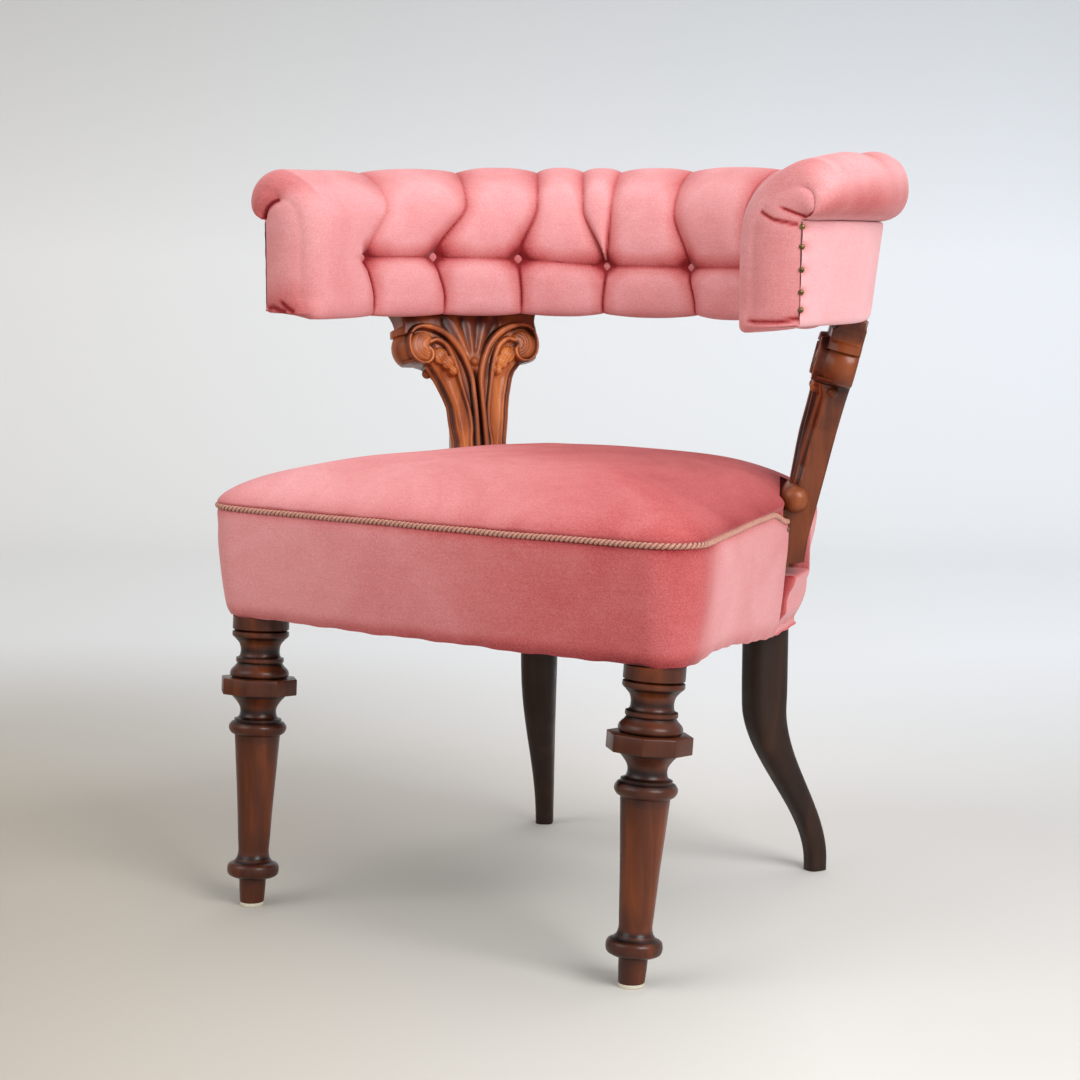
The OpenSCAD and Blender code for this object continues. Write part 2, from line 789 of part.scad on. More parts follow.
// Hourglass coil that closes flat at both ends
function spring_path() = let (n = spring_turns * spring_ring_n) [
    for (i = [0 : n])
        let (t = i / n, a = 360 * i / spring_ring_n)
        let (r = (spring_d - spring_wire) / 2 * (spring_waist_share
            + (1 - spring_waist_share) * pow(abs(2 * t - 1), 1.6)))
        [r * cos(a), r * sin(a), spring_low + (spring_high - spring_low) * t]
];

// Least gap between turns, measured on points one turn or more apart
spring_gap = let (p = spring_path(), n = len(p) - 1)
    min([for (i = [0 : n - spring_ring_n], j = [i + spring_ring_n - 2 : min(n, i + spring_ring_n + 2)])
        norm(p[i] - p[j])]) - spring_wire;

module seat_springs() {
    echo(seat_spring_least_gap = spring_gap);
    color("silver") for (p = spring_places)
        translate([p[0] * spring_spread_x, web_mid_y + p[1] * spring_spread_y, 0])
            loft(tube_rings(spring_path(), spring_wire / 2, 6));
}

module spring_hessian() {
    color("peru") difference() {
        translate([0, 0, rail_top]) linear_extrude(hessian_t)
            polygon(drawn_in(seat_outline, band_t + rail_t * 0.3));
        both() tail_room(clear);
    }
}

// Crowned seat cushion

// The cushion leaves a bay for each upright, shallower towards the middle
bay_reach = scroll_reach - scroll_r - clear;
bay_half = waist_w / 2 + scroll_r * 0.7;
bay_r = 4;
bay_least = 4;
function crown_outline(s) = let (
    reach = min(flat_reach - bay_least, bay_reach / s),
    r = min(bay_r, (flat_reach - reach) * 0.45),
    near = outline_cut(seat_outline, -bay_half),
    far = outline_cut(seat_outline, bay_half)
) rounded(full_corners(concat(front_corners, [
    [near[0], near[1], r, 2],
    side_corner(reach, -bay_half, r, 2),
    side_corner(reach, bay_half, r, 2),
    [far[0], far[1], r, 2],
    side_corner(rear_reach, flat_far, rear_corner_r, 6),
    [0, seat_rear_y, rear_bow_r, 4]
])));
edge_chamfer = 5;
crown_power = 2.4;
crown_mid_y = -60;
crown_foot_share = 0.3;

function crown_z(s) = cord_z + edge_chamfer + (seat_h - cord_z - edge_chamfer)
    * pow(max(0, 1 - pow(s, crown_power)), 0.65);
function crown_ring(s) = [for (p = drawn_in(crown_outline(s), clear))
    [p[0] * s, crown_mid_y + (p[1] - crown_mid_y) * s, crown_z(s)]];
crown_scale_shares = [1, 0.985, 0.95, 0.89, 0.8, 0.65, 0.45, 0.2];

module seat_cushion() {
    low = rail_top + hessian_t + clear;
    body = drawn_in(crown_outline(1), band_t + over);
    neck = drawn_in(crown_outline(1), edge_chamfer + clear);
    foot = [for (p = body) [p[0] * crown_foot_share, crown_mid_y + (p[1] - crown_mid_y) * crown_foot_share, low]];
    color("palevioletred") loft(concat(
        [foot, [for (p = body) [p[0], p[1], low]],
         [for (p = body) [p[0], p[1], cord_z + clear]],
         [for (p = neck) [p[0], p[1], cord_z + clear]]],
        [for (s = crown_scale_shares) crown_ring(s)]));
}

// Padded band round the seat and the cord on its edge

band_foot_r = 9;
foot_swell = 1;
front_draw_in = 8;
rear_draw_in = 12;
rear_swell = 8;
cord_dip = 13;
cord_dip_l = 34;
// How far the lower edge of the bands drops towards the rear, from where and over what length
rear_drop = 22;
rear_drop_y = -170;
rear_drop_l = 260;
// Section of the band as [draw-in, height], drawn in at the foot and chamfered under the cord
function band_section(foot_in, mid_share) = let (h = cord_z - band_z) [
    [band_t - clear, cord_z], [edge_chamfer, cord_z], [0, cord_z - edge_chamfer],
    [foot_in * mid_share, band_z + h * 0.5], [foot_in * 0.8 + foot_swell, band_z + h * 0.2],
    [min(foot_in + band_foot_r * 0.45, band_t - 2 * over), band_z + band_foot_r * 0.5],
    [min(foot_in + band_foot_r, band_t - over), band_z], [band_t - clear, band_z]
];
// Section of the rear band, padded out past the outline
function swelled_section(foot_in, mid_share) = [
    for (q = band_section(foot_in, mid_share)) [q[0] < band_t - clear ? q[0] - rear_swell : q[0] - clear, q[1]]
];
function foot_drop(p, z) = rear_drop * smooth((p[1] - rear_drop_y) / rear_drop_l)
    * max(0, 1 - 2 * (z - band_z) / (cord_z - band_z));
// The top edge dips where it passes under the scroll of the upright
function dip(p) = let (off = abs(across_upright([abs(p[0]), p[1]])) - tail_clear)
    p[1] > 0 ? cord_dip * (1 - smooth(off / cord_dip_l)) : 0;

tail_clear = tail_w / 2 + clear;
function across_upright(p) = (p - [0, bow_cy]) * upright_t_way - upright_shift;

// Where the outline passes a shift across the upright
function outline_cut(o, along) = let (
    hits = [for (i = [0 : len(o) - 2])
        let (u = across_upright(o[i]) - along, v = across_upright(o[i + 1]) - along)
        if (o[i][0] > 0 && u <= 0 && v > 0) o[i] + (o[i + 1] - o[i]) * u / (u - v)]
) hits[0];

band_cut = outline_cut(seat_outline, -tail_clear);
function front_half(o) = [
    for (p = o) if (p[0] > -over && p[1] < side_end[1] && across_upright(p) < -tail_clear - over) p
];
function rear_half(o) = concat(
    [for (p = o) if (p[0] > 0 && abs(across_upright(p)) < tail_clear - over) p],
    [for (k = [0 : 2]) outline_cut(o, tail_clear + cord_dip_l * k / 2)],
    [for (p = o) if (p[0] > -over && across_upright(p) > tail_clear + cord_dip_l + over) p]
);
function flipped(p) = [for (i = [len(p) - 1 : -1 : 0]) [-p[i][0], p[i][1]]];

// Stations of the band: points of the outline with the way inwards, the ends square to the upright
function inward(p, i) = let (t = unit(p[min(len(p) - 1, i + 1)] - p[max(0, i - 1)])) [-t[1], t[0]];
function mitred(way, n) = -n / (-n * way);
function stations(p) = let (n = len(p) - 1, left_n = [-upright_n[0], upright_n[1]]) [
    for (i = [0 : n])
        let (way = inward(p, i))
        i > 0 && i < n ? [p[i], way] : [p[i], mitred(way, p[i][0] > 0 ? upright_n : left_n)]
];
function band_rings(st, section) = [for (s = st) [for (q = section)
    let (lowered = foot_drop(s[0], q[1]) + (q[1] > cord_z - 2 * edge_chamfer ? dip(s[0]) : 0))
    [s[0][0] + s[1][0] * q[0], s[0][1] + s[1][1] * q[0], q[1] - lowered]]];

front_walk_half = concat(front_half(seat_outline), [band_cut]);
front_walk = concat(flipped(front_walk_half), [for (p = front_walk_half) if (p[0] > over) p]);
rear_walk_half = concat([band_cut + upright_t_way * 2 * clear], rear_half(seat_outline));
rear_walk = concat(rear_walk_half, flipped([for (p = rear_walk_half) if (p[0] > over) p]));

module seat_band() {
    color("pink") loft(band_rings(stations(front_walk), band_section(front_draw_in, 0.4)));
}

// The rear band passes under the tail of each upright and stops at its far side above
module rear_band() {
    color("pink") difference() {
        loft(band_rings(stations(rear_walk), swelled_section(rear_draw_in, 0.7)));
        both() tail_room(clear);
    }
}

cord_in = 1;
function drawn_back(a, b) = a + unit(b - a) * cord_d / 3;

module seat_cord() {
    st = stations(front_walk);
    line = [for (s = st)
        [s[0][0] + s[1][0] * cord_in, s[0][1] + s[1][1] * cord_in, cord_z + clear / 2 - dip(s[0])]];
    path = [for (i = [0 : len(line) - 1]) i == 0 ? drawn_back(line[0], line[1])
        : i == len(line) - 1 ? drawn_back(line[i], line[i - 1]) : line[i]];
    color("tan") loft(tube_rings(path, cord_d / 2, 8));
}

// How far the band is drawn in behind the tacks of the cord
tack_in = 1;

module cord_tacks() {
    p = band_cut - upright_t_way * tack_d * 1.4 - upright_n * tack_in;
    color("goldenrod") both() translate([p[0], p[1], cord_z - cord_dip - cord_d * 2])
        rotate([0, 90, upright_turn]) cylinder(d = tack_d, h = tack_t);
}

// Horseshoe frame of the back

module bow(r_in, r_out, z, h, y_front) {
    translate([0, bow_cy, z]) rotate_extrude(angle = 180, $fn = 120)
        translate([r_in, 0]) square([r_out - r_in, h]);
    for (s = [0, 1]) mirror([s, 0, 0]) translate([r_in, y_front, z]) cube([r_out - r_in, bow_cy - y_front, h]);
}

module bow_lower_rail() {
    color("burlywood") difference() {
        bow(rail_in_r, rail_out_r, bow_rail_z, bow_rail_h, frame_front_y);
        both() capital_screw_set(fit);
    }
}

module bow_upper_rail() {
    color("burlywood") bow(top_rail_in_r, top_rail_out_r, top_rail_z, top_rail_h, frame_front_y);
}

post_z = bow_rail_z + bow_rail_h;
post_h = top_rail_z - post_z;

module bow_posts() {
    color("burlywood") {
        for (a = post_angles) translate([0, bow_cy, post_z]) rotate([0, 0, a])
            translate([top_rail_in_r, -post_w / 2, 0]) cube([post_t, post_w, post_h]);
        both() translate([rail_in_r, frame_front_y, post_z]) cube([bow_rail_t, post_w, post_h]);
    }
}

module bow_lining() {
    color("peru")
        bow(rail_in_r - lining_t - clear, rail_in_r - clear, bow_rail_z, bow_rail_h + post_h, frame_front_y);
}

// Velvet strip under the lower rail, with a notch for the top of each upright
module bow_under_cover() {
    color("palevioletred") difference() {
        bow(rail_in_r, rail_out_r, back_z, bow_rail_z - back_z - clear, frame_front_y);
        both() level_place() translate([pad_in_r - bow_rail_t, -block_w / 2 - clear, back_z - over])
            cube([bow_r, block_w + 2 * clear, bow_rail_z - back_z + 2 * over]);
    }
}

// Button-tufted pad with its rolled top

roll_r = roll_h / 2 - over;
roll_cr = bow_r + roll_over - roll_r;
roll_cz = back_h - roll_r;
shoulder_a = roll_cr - face_r;
shoulder_b = roll_h;
pad_foot_in = 18;
pad_foot_h = 14;
pleat_depth = 6;
crease_depth = 5;
puff = 2;
face_row_shares = [-0.5, -0.145, 0.145, 0.45];
row_pitch = 46;

tuft_flat_a = 1.7;
tuft_flat_share = 0.145;
// How near a place round the bow lies to a button, one over the button and nought between two
function nearness(a) = let (
    edge = button_n * button_step / 2,
    off = abs(a - 90) > edge ? button_step / 2 : abs((abs(a - 90) + button_step / 2) % button_step - button_step / 2),
    free = max(0, off - tuft_flat_a) / (button_step / 2 - tuft_flat_a)
) (1 + cos(180 * free)) / 2;
function bell(x) = exp(-x * x);
function tuft(a, z) = let (c = nearness(a), v = max(0, abs(z - button_z) / row_pitch - tuft_flat_share))
    tuft_depth * pow(c, 4) * bell(v * 3.2)
    + pleat_depth * pow(c, 3) * (1 - bell(v * 3.2))
    + crease_depth * (1 - c) * (c > 0.02 ? 1 : 0) * bell(v * 5)
    - puff * (1 - c);

// Outline of the rolled top: an elliptic shoulder up from the face, then the round roll
function roll_outline(d, drop) = concat(
    [for (g = [180 : -18 : 90])
        [roll_cr + (shoulder_a - d) * cos(g), back_h - shoulder_b + (shoulder_b - d - drop) * sin(g)]],
    [for (g = [60 : -30 : -90]) let (upper = g > 0 ? 1 : 0)
        [roll_cr + roll_r * cos(g), roll_cz + (roll_r - d * upper) * sin(g) - drop * upper]]
);

// Section of the pad at a place round the bow, starting at the corner over the upper rail
function pad_section(a, drop = 0) = concat(
    [[pad_in_r, panel_top + 2 * clear], [pad_in_r, back_z]],
    [[face_r + pad_foot_in, back_z], [face_r + pad_foot_in / 3, back_z + pad_foot_h * 0.3]],
    [[face_r + pad_foot_in / 18 + tuft(a, button_z - row_pitch) * 0.6, back_z + pad_foot_h]],
    [for (v = face_row_shares) let (z = button_z + v * row_pitch) [face_r + tuft(a, z), z]],
    roll_outline(pleat_depth * pow(nearness(a), 3), drop)
);

arm_stations = [for (k = [0 : 3]) frame_front_y + clear + (bow_cy - frame_front_y) * k * 0.24];
tuft_offset_shares = [-0.077, 0.077, 0.28, 0.5, 0.72];
bow_angles = concat(
    [for (k = [0 : button_n - 2], s = tuft_offset_shares) button_angles[k] + s * button_step],
    [for (s = [-0.077, 0.077]) button_angles[button_n - 1] + s * button_step]
);

// Place on the horseshoe for a reach and a height: on an arm, then round the bow, then on the other arm
function arm_angle(y) = -(bow_cy - y) / face_r * 180 / PI;

// Rings of the left arm from those of the right one
function other_arm(rings) = [
    for (i = [len(rings) - 1 : -1 : 0]) [for (p = rings[i]) [-p[0], p[1], p[2]]]
];

arm_drop = 9;
arm_drop_shares = [1, 0.4, 0.1, 0];

module back_pad() {
    right_arm = [for (i = [0 : len(arm_stations) - 1])
        [for (p = pad_section(arm_angle(arm_stations[i]), arm_drop_shares[i] * arm_drop)) [p[0], arm_stations[i], p[1]]]];
    round = [for (a = bow_angles) [for (p = pad_section(a)) [p[0] * cos(a), bow_cy + p[0] * sin(a), p[1]]]];
    color("palevioletred") loft(concat(right_arm, round, other_arm(right_arm)));
}

module back_buttons() {
    button_r = face_r + tuft_depth - clear;
    color("palevioletred") for (a = button_angles)
        translate([0, bow_cy, button_z]) rotate([0, -90, a]) translate([0, 0, -button_r])
            intersection() {
                cylinder(d = button_d, h = button_t);
                translate([0, 0, button_t - button_d]) sphere(r = button_d);
            }
}

// Section of the outer panel for a lean at its foot, upright at the front edges and leaning round the back
function panel_section(lean) = [
    [bow_r, panel_top], [bow_r - lean, back_z], [bow_r - panel_t - lean, back_z], [bow_r - panel_t, panel_top]
];
panel_arm_steps = 4;
panel_bow_steps = 60;

module outer_panel() {
    right_arm = [for (i = [0 : panel_arm_steps - 1]) let (t = i / panel_arm_steps)
        [for (p = panel_section(panel_lean * smooth(t))) [p[0], frame_front_y + (bow_cy - frame_front_y) * t, p[1]]]];
    round = [for (i = [0 : panel_bow_steps]) let (a = 180 * i / panel_bow_steps)
        [for (p = panel_section(panel_lean)) [p[0] * cos(a), bow_cy + p[0] * sin(a), p[1]]]];
    color("pink") loft(concat(right_arm, round, other_arm(right_arm)));
}

// Flat velvet facing over the front end of an arm
module arm_facing_shape() {
    roll = roll_outline(0, arm_drop);
    low = [[bow_r, back_z], [bow_r, panel_top + 2 * clear]];
    inner = [for (i = [len(roll) - 1 : -1 : 0]) roll[i]];
    foot = [[face_r, back_z + pad_foot_h], [face_r + pad_foot_in / 3, back_z + pad_foot_h * 0.3],
        [face_r + pad_foot_in, back_z]];
    color("pink") translate([0, front_y + facing_t, 0]) rotate([90, 0, 0])
        linear_extrude(facing_t) polygon(concat(low, inner, foot));
}

module arm_facing_right() {
    arm_facing_shape();
}

module arm_facing_left() {
    left_side() arm_facing_shape();
}

facing_tack_shares = [0.15, 0.34, 0.56, 0.78, 1.0];

module facing_tacks() {
    color("goldenrod") both() for (s = facing_tack_shares)
        translate([bow_r - tack_d * 0.6, front_y, back_z + (panel_top - back_z) * s - tack_d])
            rotate([90, 0, 0]) cylinder(d = tack_d, h = tack_t);
}

front_leg_left();
front_leg_right();
front_glide_left();
front_glide_right();
rear_leg_left();
rear_leg_right();
upright_left();
upright_right();
front_rail();
left_rail();
right_rail();
back_rail();
front_corner_posts();
rear_corner_posts();
rail_dowels();
tail_screws();
capital_screws();
webbing_lengthwise();
webbing_crosswise();
seat_springs();
spring_hessian();
dust_cover();
seat_cushion();
seat_band();
rear_band();
seat_cord();
cord_tacks();
bow_lower_rail();
bow_upper_rail();
bow_posts();
bow_lining();
bow_under_cover();
back_pad();
back_buttons();
outer_panel();
arm_facing_left();
arm_facing_right();
facing_tacks();
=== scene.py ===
import math

import bpy
import numpy as np
from mathutils import Matrix, Vector


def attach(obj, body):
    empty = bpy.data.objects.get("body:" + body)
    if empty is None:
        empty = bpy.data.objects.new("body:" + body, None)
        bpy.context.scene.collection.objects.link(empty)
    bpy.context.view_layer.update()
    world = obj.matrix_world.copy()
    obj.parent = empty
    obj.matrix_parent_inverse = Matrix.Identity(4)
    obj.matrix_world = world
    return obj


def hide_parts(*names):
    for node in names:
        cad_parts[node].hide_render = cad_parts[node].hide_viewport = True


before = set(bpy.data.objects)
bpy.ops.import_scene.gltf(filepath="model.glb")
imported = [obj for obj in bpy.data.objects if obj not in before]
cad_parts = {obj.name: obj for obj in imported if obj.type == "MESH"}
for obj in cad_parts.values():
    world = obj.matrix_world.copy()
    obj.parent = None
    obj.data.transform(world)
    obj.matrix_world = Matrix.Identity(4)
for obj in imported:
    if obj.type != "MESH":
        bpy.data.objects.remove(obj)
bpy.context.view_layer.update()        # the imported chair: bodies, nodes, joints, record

print("frame loaded")

# lengths in the tables below are millimetres, the chair faces -Y
mm = 0.001
bow = {"midY": -54.0, "faceR": 251.0, "outerR": 322.0, "frontY": -137.0, "frameY": -133.4}
board = {"turn": 28.5, "shift": 31.0, "lean": 14.0, "r0": 277.0, "z0": 460.0}


# small helpers

def clearSelection():
    if bpy.context.object and bpy.context.object.mode != "OBJECT":
        bpy.ops.object.mode_set(mode="OBJECT")
    bpy.ops.object.select_all(action="DESELECT")


def pick(*pieces):
    clearSelection()
    for piece in pieces:
        piece.select_set(True)
    bpy.context.view_layer.objects.active = pieces[0]


def applyModifiers(piece):
    pick(piece)
    for modifier in list(piece.modifiers):
        bpy.ops.object.modifier_apply(modifier=modifier.name)


def editAll():
    bpy.ops.object.mode_set(mode="EDIT")
    bpy.ops.mesh.select_all(action="SELECT")


def leaveOutward():
    bpy.ops.mesh.select_all(action="SELECT")
    bpy.ops.mesh.normals_make_consistent(inside=False)
    bpy.ops.object.mode_set(mode="OBJECT")


def at(x, y, z):
    return Matrix.Translation((x * mm, y * mm, z * mm))


def rotated(degrees, axis):
    return Matrix.Rotation(math.radians(degrees), 4, axis)


def unit(v):
    return v / np.linalg.norm(v, axis=-1)[..., None]


def leftOf(way):
    return np.stack([-way[:, 1], way[:, 0]], axis=1)


def smoothStep(t):
    t = np.clip(t, 0.0, 1.0)
    return t * t * (3 - 2 * t)


# smooth line through points, as count points equally far apart
def curveThrough(points, count):
    p = np.array(points, float)
    p = np.vstack([2 * p[0] - p[1], p, 2 * p[-1] - p[-2]])
    dense = []
    for i in range(1, len(p) - 2):
        a, b, c, d = p[i - 1:i + 3]
        k = [0.0]
        for q, r in ((a, b), (b, c), (c, d)):
            k.append(k[-1] + max(np.linalg.norm(r - q), 1e-9) ** 0.5)
        for t in np.linspace(k[1], k[2], 20, endpoint=False):
            ab = (k[1] - t) / (k[1] - k[0]) * a + (t - k[0]) / (k[1] - k[0]) * b
            bc = (k[2] - t) / (k[2] - k[1]) * b + (t - k[1]) / (k[2] - k[1]) * c
            cd = (k[3] - t) / (k[3] - k[2]) * c + (t - k[2]) / (k[3] - k[2]) * d
            abc = (k[2] - t) / (k[2] - k[0]) * ab + (t - k[0]) / (k[2] - k[0]) * bc
            bcd = (k[3] - t) / (k[3] - k[1]) * bc + (t - k[1]) / (k[3] - k[1]) * cd
            dense.append((k[2] - t) / (k[2] - k[1]) * abc + (t - k[1]) / (k[2] - k[1]) * bcd)
    dense.append(p[-2])
    return resampled(np.array(dense), count)


def lengthAlong(p):
    return np.concatenate([[0.0], np.cumsum(np.linalg.norm(np.diff(p, axis=0), axis=1))])


def resampled(p, count):
    s = lengthAlong(p)
    t = np.linspace(0, s[-1], count)
    return np.stack([np.interp(t, s, p[:, i]) for i in range(p.shape[1])], axis=1)


# distance from points q[..., 2] to an open line, and the share of the line reached there
def toLine(q, line):
    line = np.array(line, float)
    s = lengthAlong(line)
    best = np.full(q.shape[:-1], 1e9)
    reached = np.zeros(q.shape[:-1])
    for i in range(len(line) - 1):
        a, d = line[i], line[i + 1] - line[i]
        t = np.clip(((q - a) @ d) / max(d @ d, 1e-12), 0, 1)
        away = np.linalg.norm(q - a - t[..., None] * d, axis=-1)
        nearer = away < best
        best = np.where(nearer, away, best)
        reached = np.where(nearer, (s[i] + t * (s[i + 1] - s[i])) / s[-1], reached)
    return best, reached


# a primitive grid drawn into the shape of points[row, column], given in millimetres
def shapedGrid(name, points, closed=False, capped=False, masks=None, merge=0.02):
    if closed:
        points = np.concatenate([points, points[:, :1]], axis=1)
        masks = {k: np.concatenate([m, m[:, :1]], axis=1) for k, m in (masks or {}).items()}
    rows, columns = points.shape[:2]
    clearSelection()
    bpy.ops.mesh.primitive_grid_add(x_subdivisions=columns - 1, y_subdivisions=rows - 1, size=1)
    piece = bpy.context.object
    piece.name = name
    piece.data.vertices.foreach_set("co", (points.reshape(-1, 3) * mm).astype(np.float32).ravel())
    for key, values in (masks or {}).items():
        setMask(piece, key, values)
    editAll()
    bpy.ops.mesh.remove_doubles(threshold=merge * mm)
    bpy.ops.mesh.dissolve_degenerate(threshold=1e-7)
    if capped:
        bpy.ops.mesh.select_all(action="SELECT")
        bpy.ops.mesh.fill_holes(sides=0)
    leaveOutward()
    return piece


# an outline of [radius, height] spun round the Z axis through the origin
def turnedPiece(name, outline, steps=72):
    clearSelection()
    bpy.ops.mesh.primitive_circle_add(vertices=len(outline), radius=1, fill_type="NOTHING")
    piece = bpy.context.object
    piece.name = name
    for vertex, (r, z) in zip(piece.data.vertices, outline):
        vertex.co = (r * mm, 0, z * mm)
    pick(piece)
    for edge in piece.data.edges:
        edge.select = abs(edge.vertices[0] - edge.vertices[1]) > 1
    for vertex in piece.data.vertices:
        vertex.select = vertex.index in (0, len(outline) - 1)
    bpy.ops.object.mode_set(mode="EDIT")
    bpy.ops.mesh.select_mode(type="EDGE")
    bpy.ops.mesh.delete(type="EDGE")
    bpy.ops.mesh.select_mode(type="VERT")
    bpy.ops.mesh.select_all(action="SELECT")
    bpy.ops.mesh.spin(steps=steps, angle=2 * math.pi, center=(0, 0, 0), axis=(0, 0, 1))
    bpy.ops.mesh.select_all(action="SELECT")
    bpy.ops.mesh.remove_doubles(threshold=0.01 * mm)
    bpy.ops.mesh.dissolve_degenerate(threshold=1e-7)
    leaveOutward()
    return piece


# a ball flattened along Z, or only the upper half of one
def flatBall(radius, thick, segments, rings, halved=False):
    clearSelection()
    bpy.ops.mesh.primitive_uv_sphere_add(segments=segments, ring_count=rings, radius=radius * mm)
    piece = bpy.context.object
    editAll()
    if halved:
        bpy.ops.mesh.bisect(plane_co=(0, 0, 0), plane_no=(0, 0, 1), use_fill=True, clear_inner=True)
        bpy.ops.mesh.select_all(action="SELECT")
    bpy.ops.transform.resize(value=(1, 1, thick / radius), center_override=(0, 0, 0))
    bpy.ops.object.mode_set(mode="OBJECT")
    return piece


# a short round or many-sided block between two heights, its edges eased
def easedBlock(sides, radius, low, high, ease, turn=0.0):
    clearSelection()
    middle = (0, 0, (low + high) / 2 * mm)
    bpy.ops.mesh.primitive_cylinder_add(vertices=sides, radius=radius * mm, depth=(high - low) * mm, location=middle)
    piece = bpy.context.object
    bpy.ops.object.transform_apply(location=True)
    editAll()
    bpy.ops.transform.rotate(value=turn, orient_axis="Z", center_override=(0, 0, 0))
    bpy.ops.mesh.bevel(offset=ease * mm, segments=3, affect="EDGES")
    bpy.ops.object.mode_set(mode="OBJECT")
    return piece


# one value per point of the mesh, or one value for all of them
def setMask(piece, key, values):
    layer = piece.data.attributes.get(key) or piece.data.attributes.new(key, "FLOAT", "POINT")
    values = np.broadcast_to(np.asarray(values, np.float32).ravel(), len(piece.data.vertices))
    layer.data.foreach_set("value", np.ascontiguousarray(values))


def moved(piece, matrix):
    piece.data.transform(matrix)
    piece.data.update()
    return piece


# the same piece on the other side of the chair
def mirrorCopy(piece, name):
    other = piece.copy()
    other.data = piece.data.copy()
    other.name = name
    bpy.context.collection.objects.link(other)
    other.data.transform(Matrix.Scale(-1, 4, (1, 0, 0)))
    pick(other)
    editAll()
    leaveOutward()
    return other


def joined(name, pieces):
    pick(*pieces)
    bpy.ops.object.join()
    piece = bpy.context.object
    piece.name = name
    return piece


def finished(piece, material, stands=(), angle=40):
    pick(piece)
    bpy.ops.object.transform_apply(location=True, rotation=True, scale=True)
    piece.data.name = piece.name
    piece.data.materials.clear()
    piece.data.materials.append(material)
    bpy.ops.object.shade_smooth_by_angle(angle=math.radians(angle))
    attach(piece, "root")
    if stands:
        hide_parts(*stands)
    return piece


# a piece at the right and its mirror copy at the left
def finishedPair(piece, name, materials, stands, angle):
    piece.name = name + "Right"
    other = mirrorCopy(piece, name + "Left")
    for made, material, stand in zip((piece, other), materials, stands):
        finished(made, material, (stand,), angle)
    return piece


# materials

def tone(r, g, b):
    linear = [c / 3294.6 if c <= 10.31 else ((c / 255 + 0.055) / 1.055) ** 2.4 for c in (r, g, b)]
    return (*linear, 1.0)


def put(tree, kind, x=0, y=0, sockets=None, **settings):
    node = tree.nodes.new(kind)
    node.location = (x, y)
    for key, value in settings.items():
        setattr(node, key, value)
    for key, value in (sockets or {}).items():
        node.inputs[key].default_value = value
    return node


def ramp(tree, x, y, stops):
    node = put(tree, "ShaderNodeValToRGB", x, y)
    band = node.color_ramp
    band.elements[0].position, band.elements[0].color = stops[0]
    band.elements[1].position, band.elements[1].color = stops[-1]
    for position, colour in stops[1:-1]:
        band.elements.new(position).color = colour
    return node


def newGroup(name, inputs, outputs):
    group = bpy.data.node_groups.new(name, "ShaderNodeTree")
    for label, kind, value in inputs:
        socket = group.interface.new_socket(label, in_out="INPUT", socket_type=kind)
        socket.default_value = value
    for label, kind in outputs:
        group.interface.new_socket(label, in_out="OUTPUT", socket_type=kind)
    return group, put(group, "NodeGroupInput", -1200), put(group, "NodeGroupOutput", 900)


# soft blotches where the pile has been stroked, fine pile grain, and the rows of the weave
def makeNap():
    group, enter, leave = newGroup(
        "velvetNap",
        [("Blotch Scale", "NodeSocketFloat", 11.0), ("Pile Scale", "NodeSocketFloat", 1500.0)],
        [("Blotch", "NodeSocketFloat"), ("Pile", "NodeSocketFloat"), ("Rows", "NodeSocketFloat")],
    )
    link = group.links.new
    place = put(group, "ShaderNodeTexCoord", -1000)
    blotch = put(group, "ShaderNodeTexNoise", -700, 200, {"Detail": 5.0, "Roughness": 0.62, "Distortion": 0.6})
    pile = put(group, "ShaderNodeTexNoise", -700, -100, {"Detail": 2.0, "Roughness": 0.75})
    squash = put(group, "ShaderNodeMapping", -850, -400, {"Scale": (40.0, 40.0, 620.0)})
    rows = put(group, "ShaderNodeTexNoise", -650, -400, {"Scale": 1.0, "Detail": 2.0, "Roughness": 0.6})
    link(enter.outputs["Blotch Scale"], blotch.inputs["Scale"])
    link(enter.outputs["Pile Scale"], pile.inputs["Scale"])
    for node in (blotch, pile, squash):
        link(place.outputs["Object"], node.inputs["Vector"])
    link(squash.outputs["Vector"], rows.inputs["Vector"])
    for label, node in (("Blotch", blotch), ("Pile", pile), ("Rows", rows)):
        link(node.outputs["Fac"], leave.inputs[label])
    return group


# long figure of the wood, its fine pores, and uneven polish
def makeGrain():
    group, enter, leave = newGroup(
        "woodGrain",
        [("Stretch", "NodeSocketVector", (38.0, 38.0, 4.5))],
        [("Figure", "NodeSocketFloat"), ("Pores", "NodeSocketFloat"), ("Polish", "NodeSocketFloat")],
    )
    link = group.links.new
    place = put(group, "ShaderNodeTexCoord", -1000)
    stretch = put(group, "ShaderNodeVectorMath", -800, 100, operation="MULTIPLY")
    figure = put(group, "ShaderNodeTexNoise", -550, 200, {"Scale": 1.0, "Detail": 5.0, "Roughness": 0.5})
    figure.inputs["Distortion"].default_value = 0.9
    fine = put(group, "ShaderNodeVectorMath", -750, -200, operation="SCALE")
    fine.inputs["Scale"].default_value = 9.0
    pores = put(group, "ShaderNodeTexNoise", -550, -200, {"Scale": 1.0, "Detail": 3.0, "Roughness": 0.7})
    polish = put(group, "ShaderNodeTexNoise", -550, -500, {"Scale": 38.0, "Detail": 3.0, "Roughness": 0.55})
    link(place.outputs["Object"], stretch.inputs[0])
    link(enter.outputs["Stretch"], stretch.inputs[1])
    link(stretch.outputs["Vector"], figure.inputs["Vector"])
    link(stretch.outputs["Vector"], fine.inputs[0])
    link(fine.outputs["Vector"], pores.inputs["Vector"])
    link(place.outputs["Object"], polish.inputs["Vector"])
    for label, node in (("Figure", figure), ("Pores", pores), ("Polish", polish)):
        link(node.outputs["Fac"], leave.inputs[label])
    return group


napGroup = makeNap()
grainGroup = makeGrain()


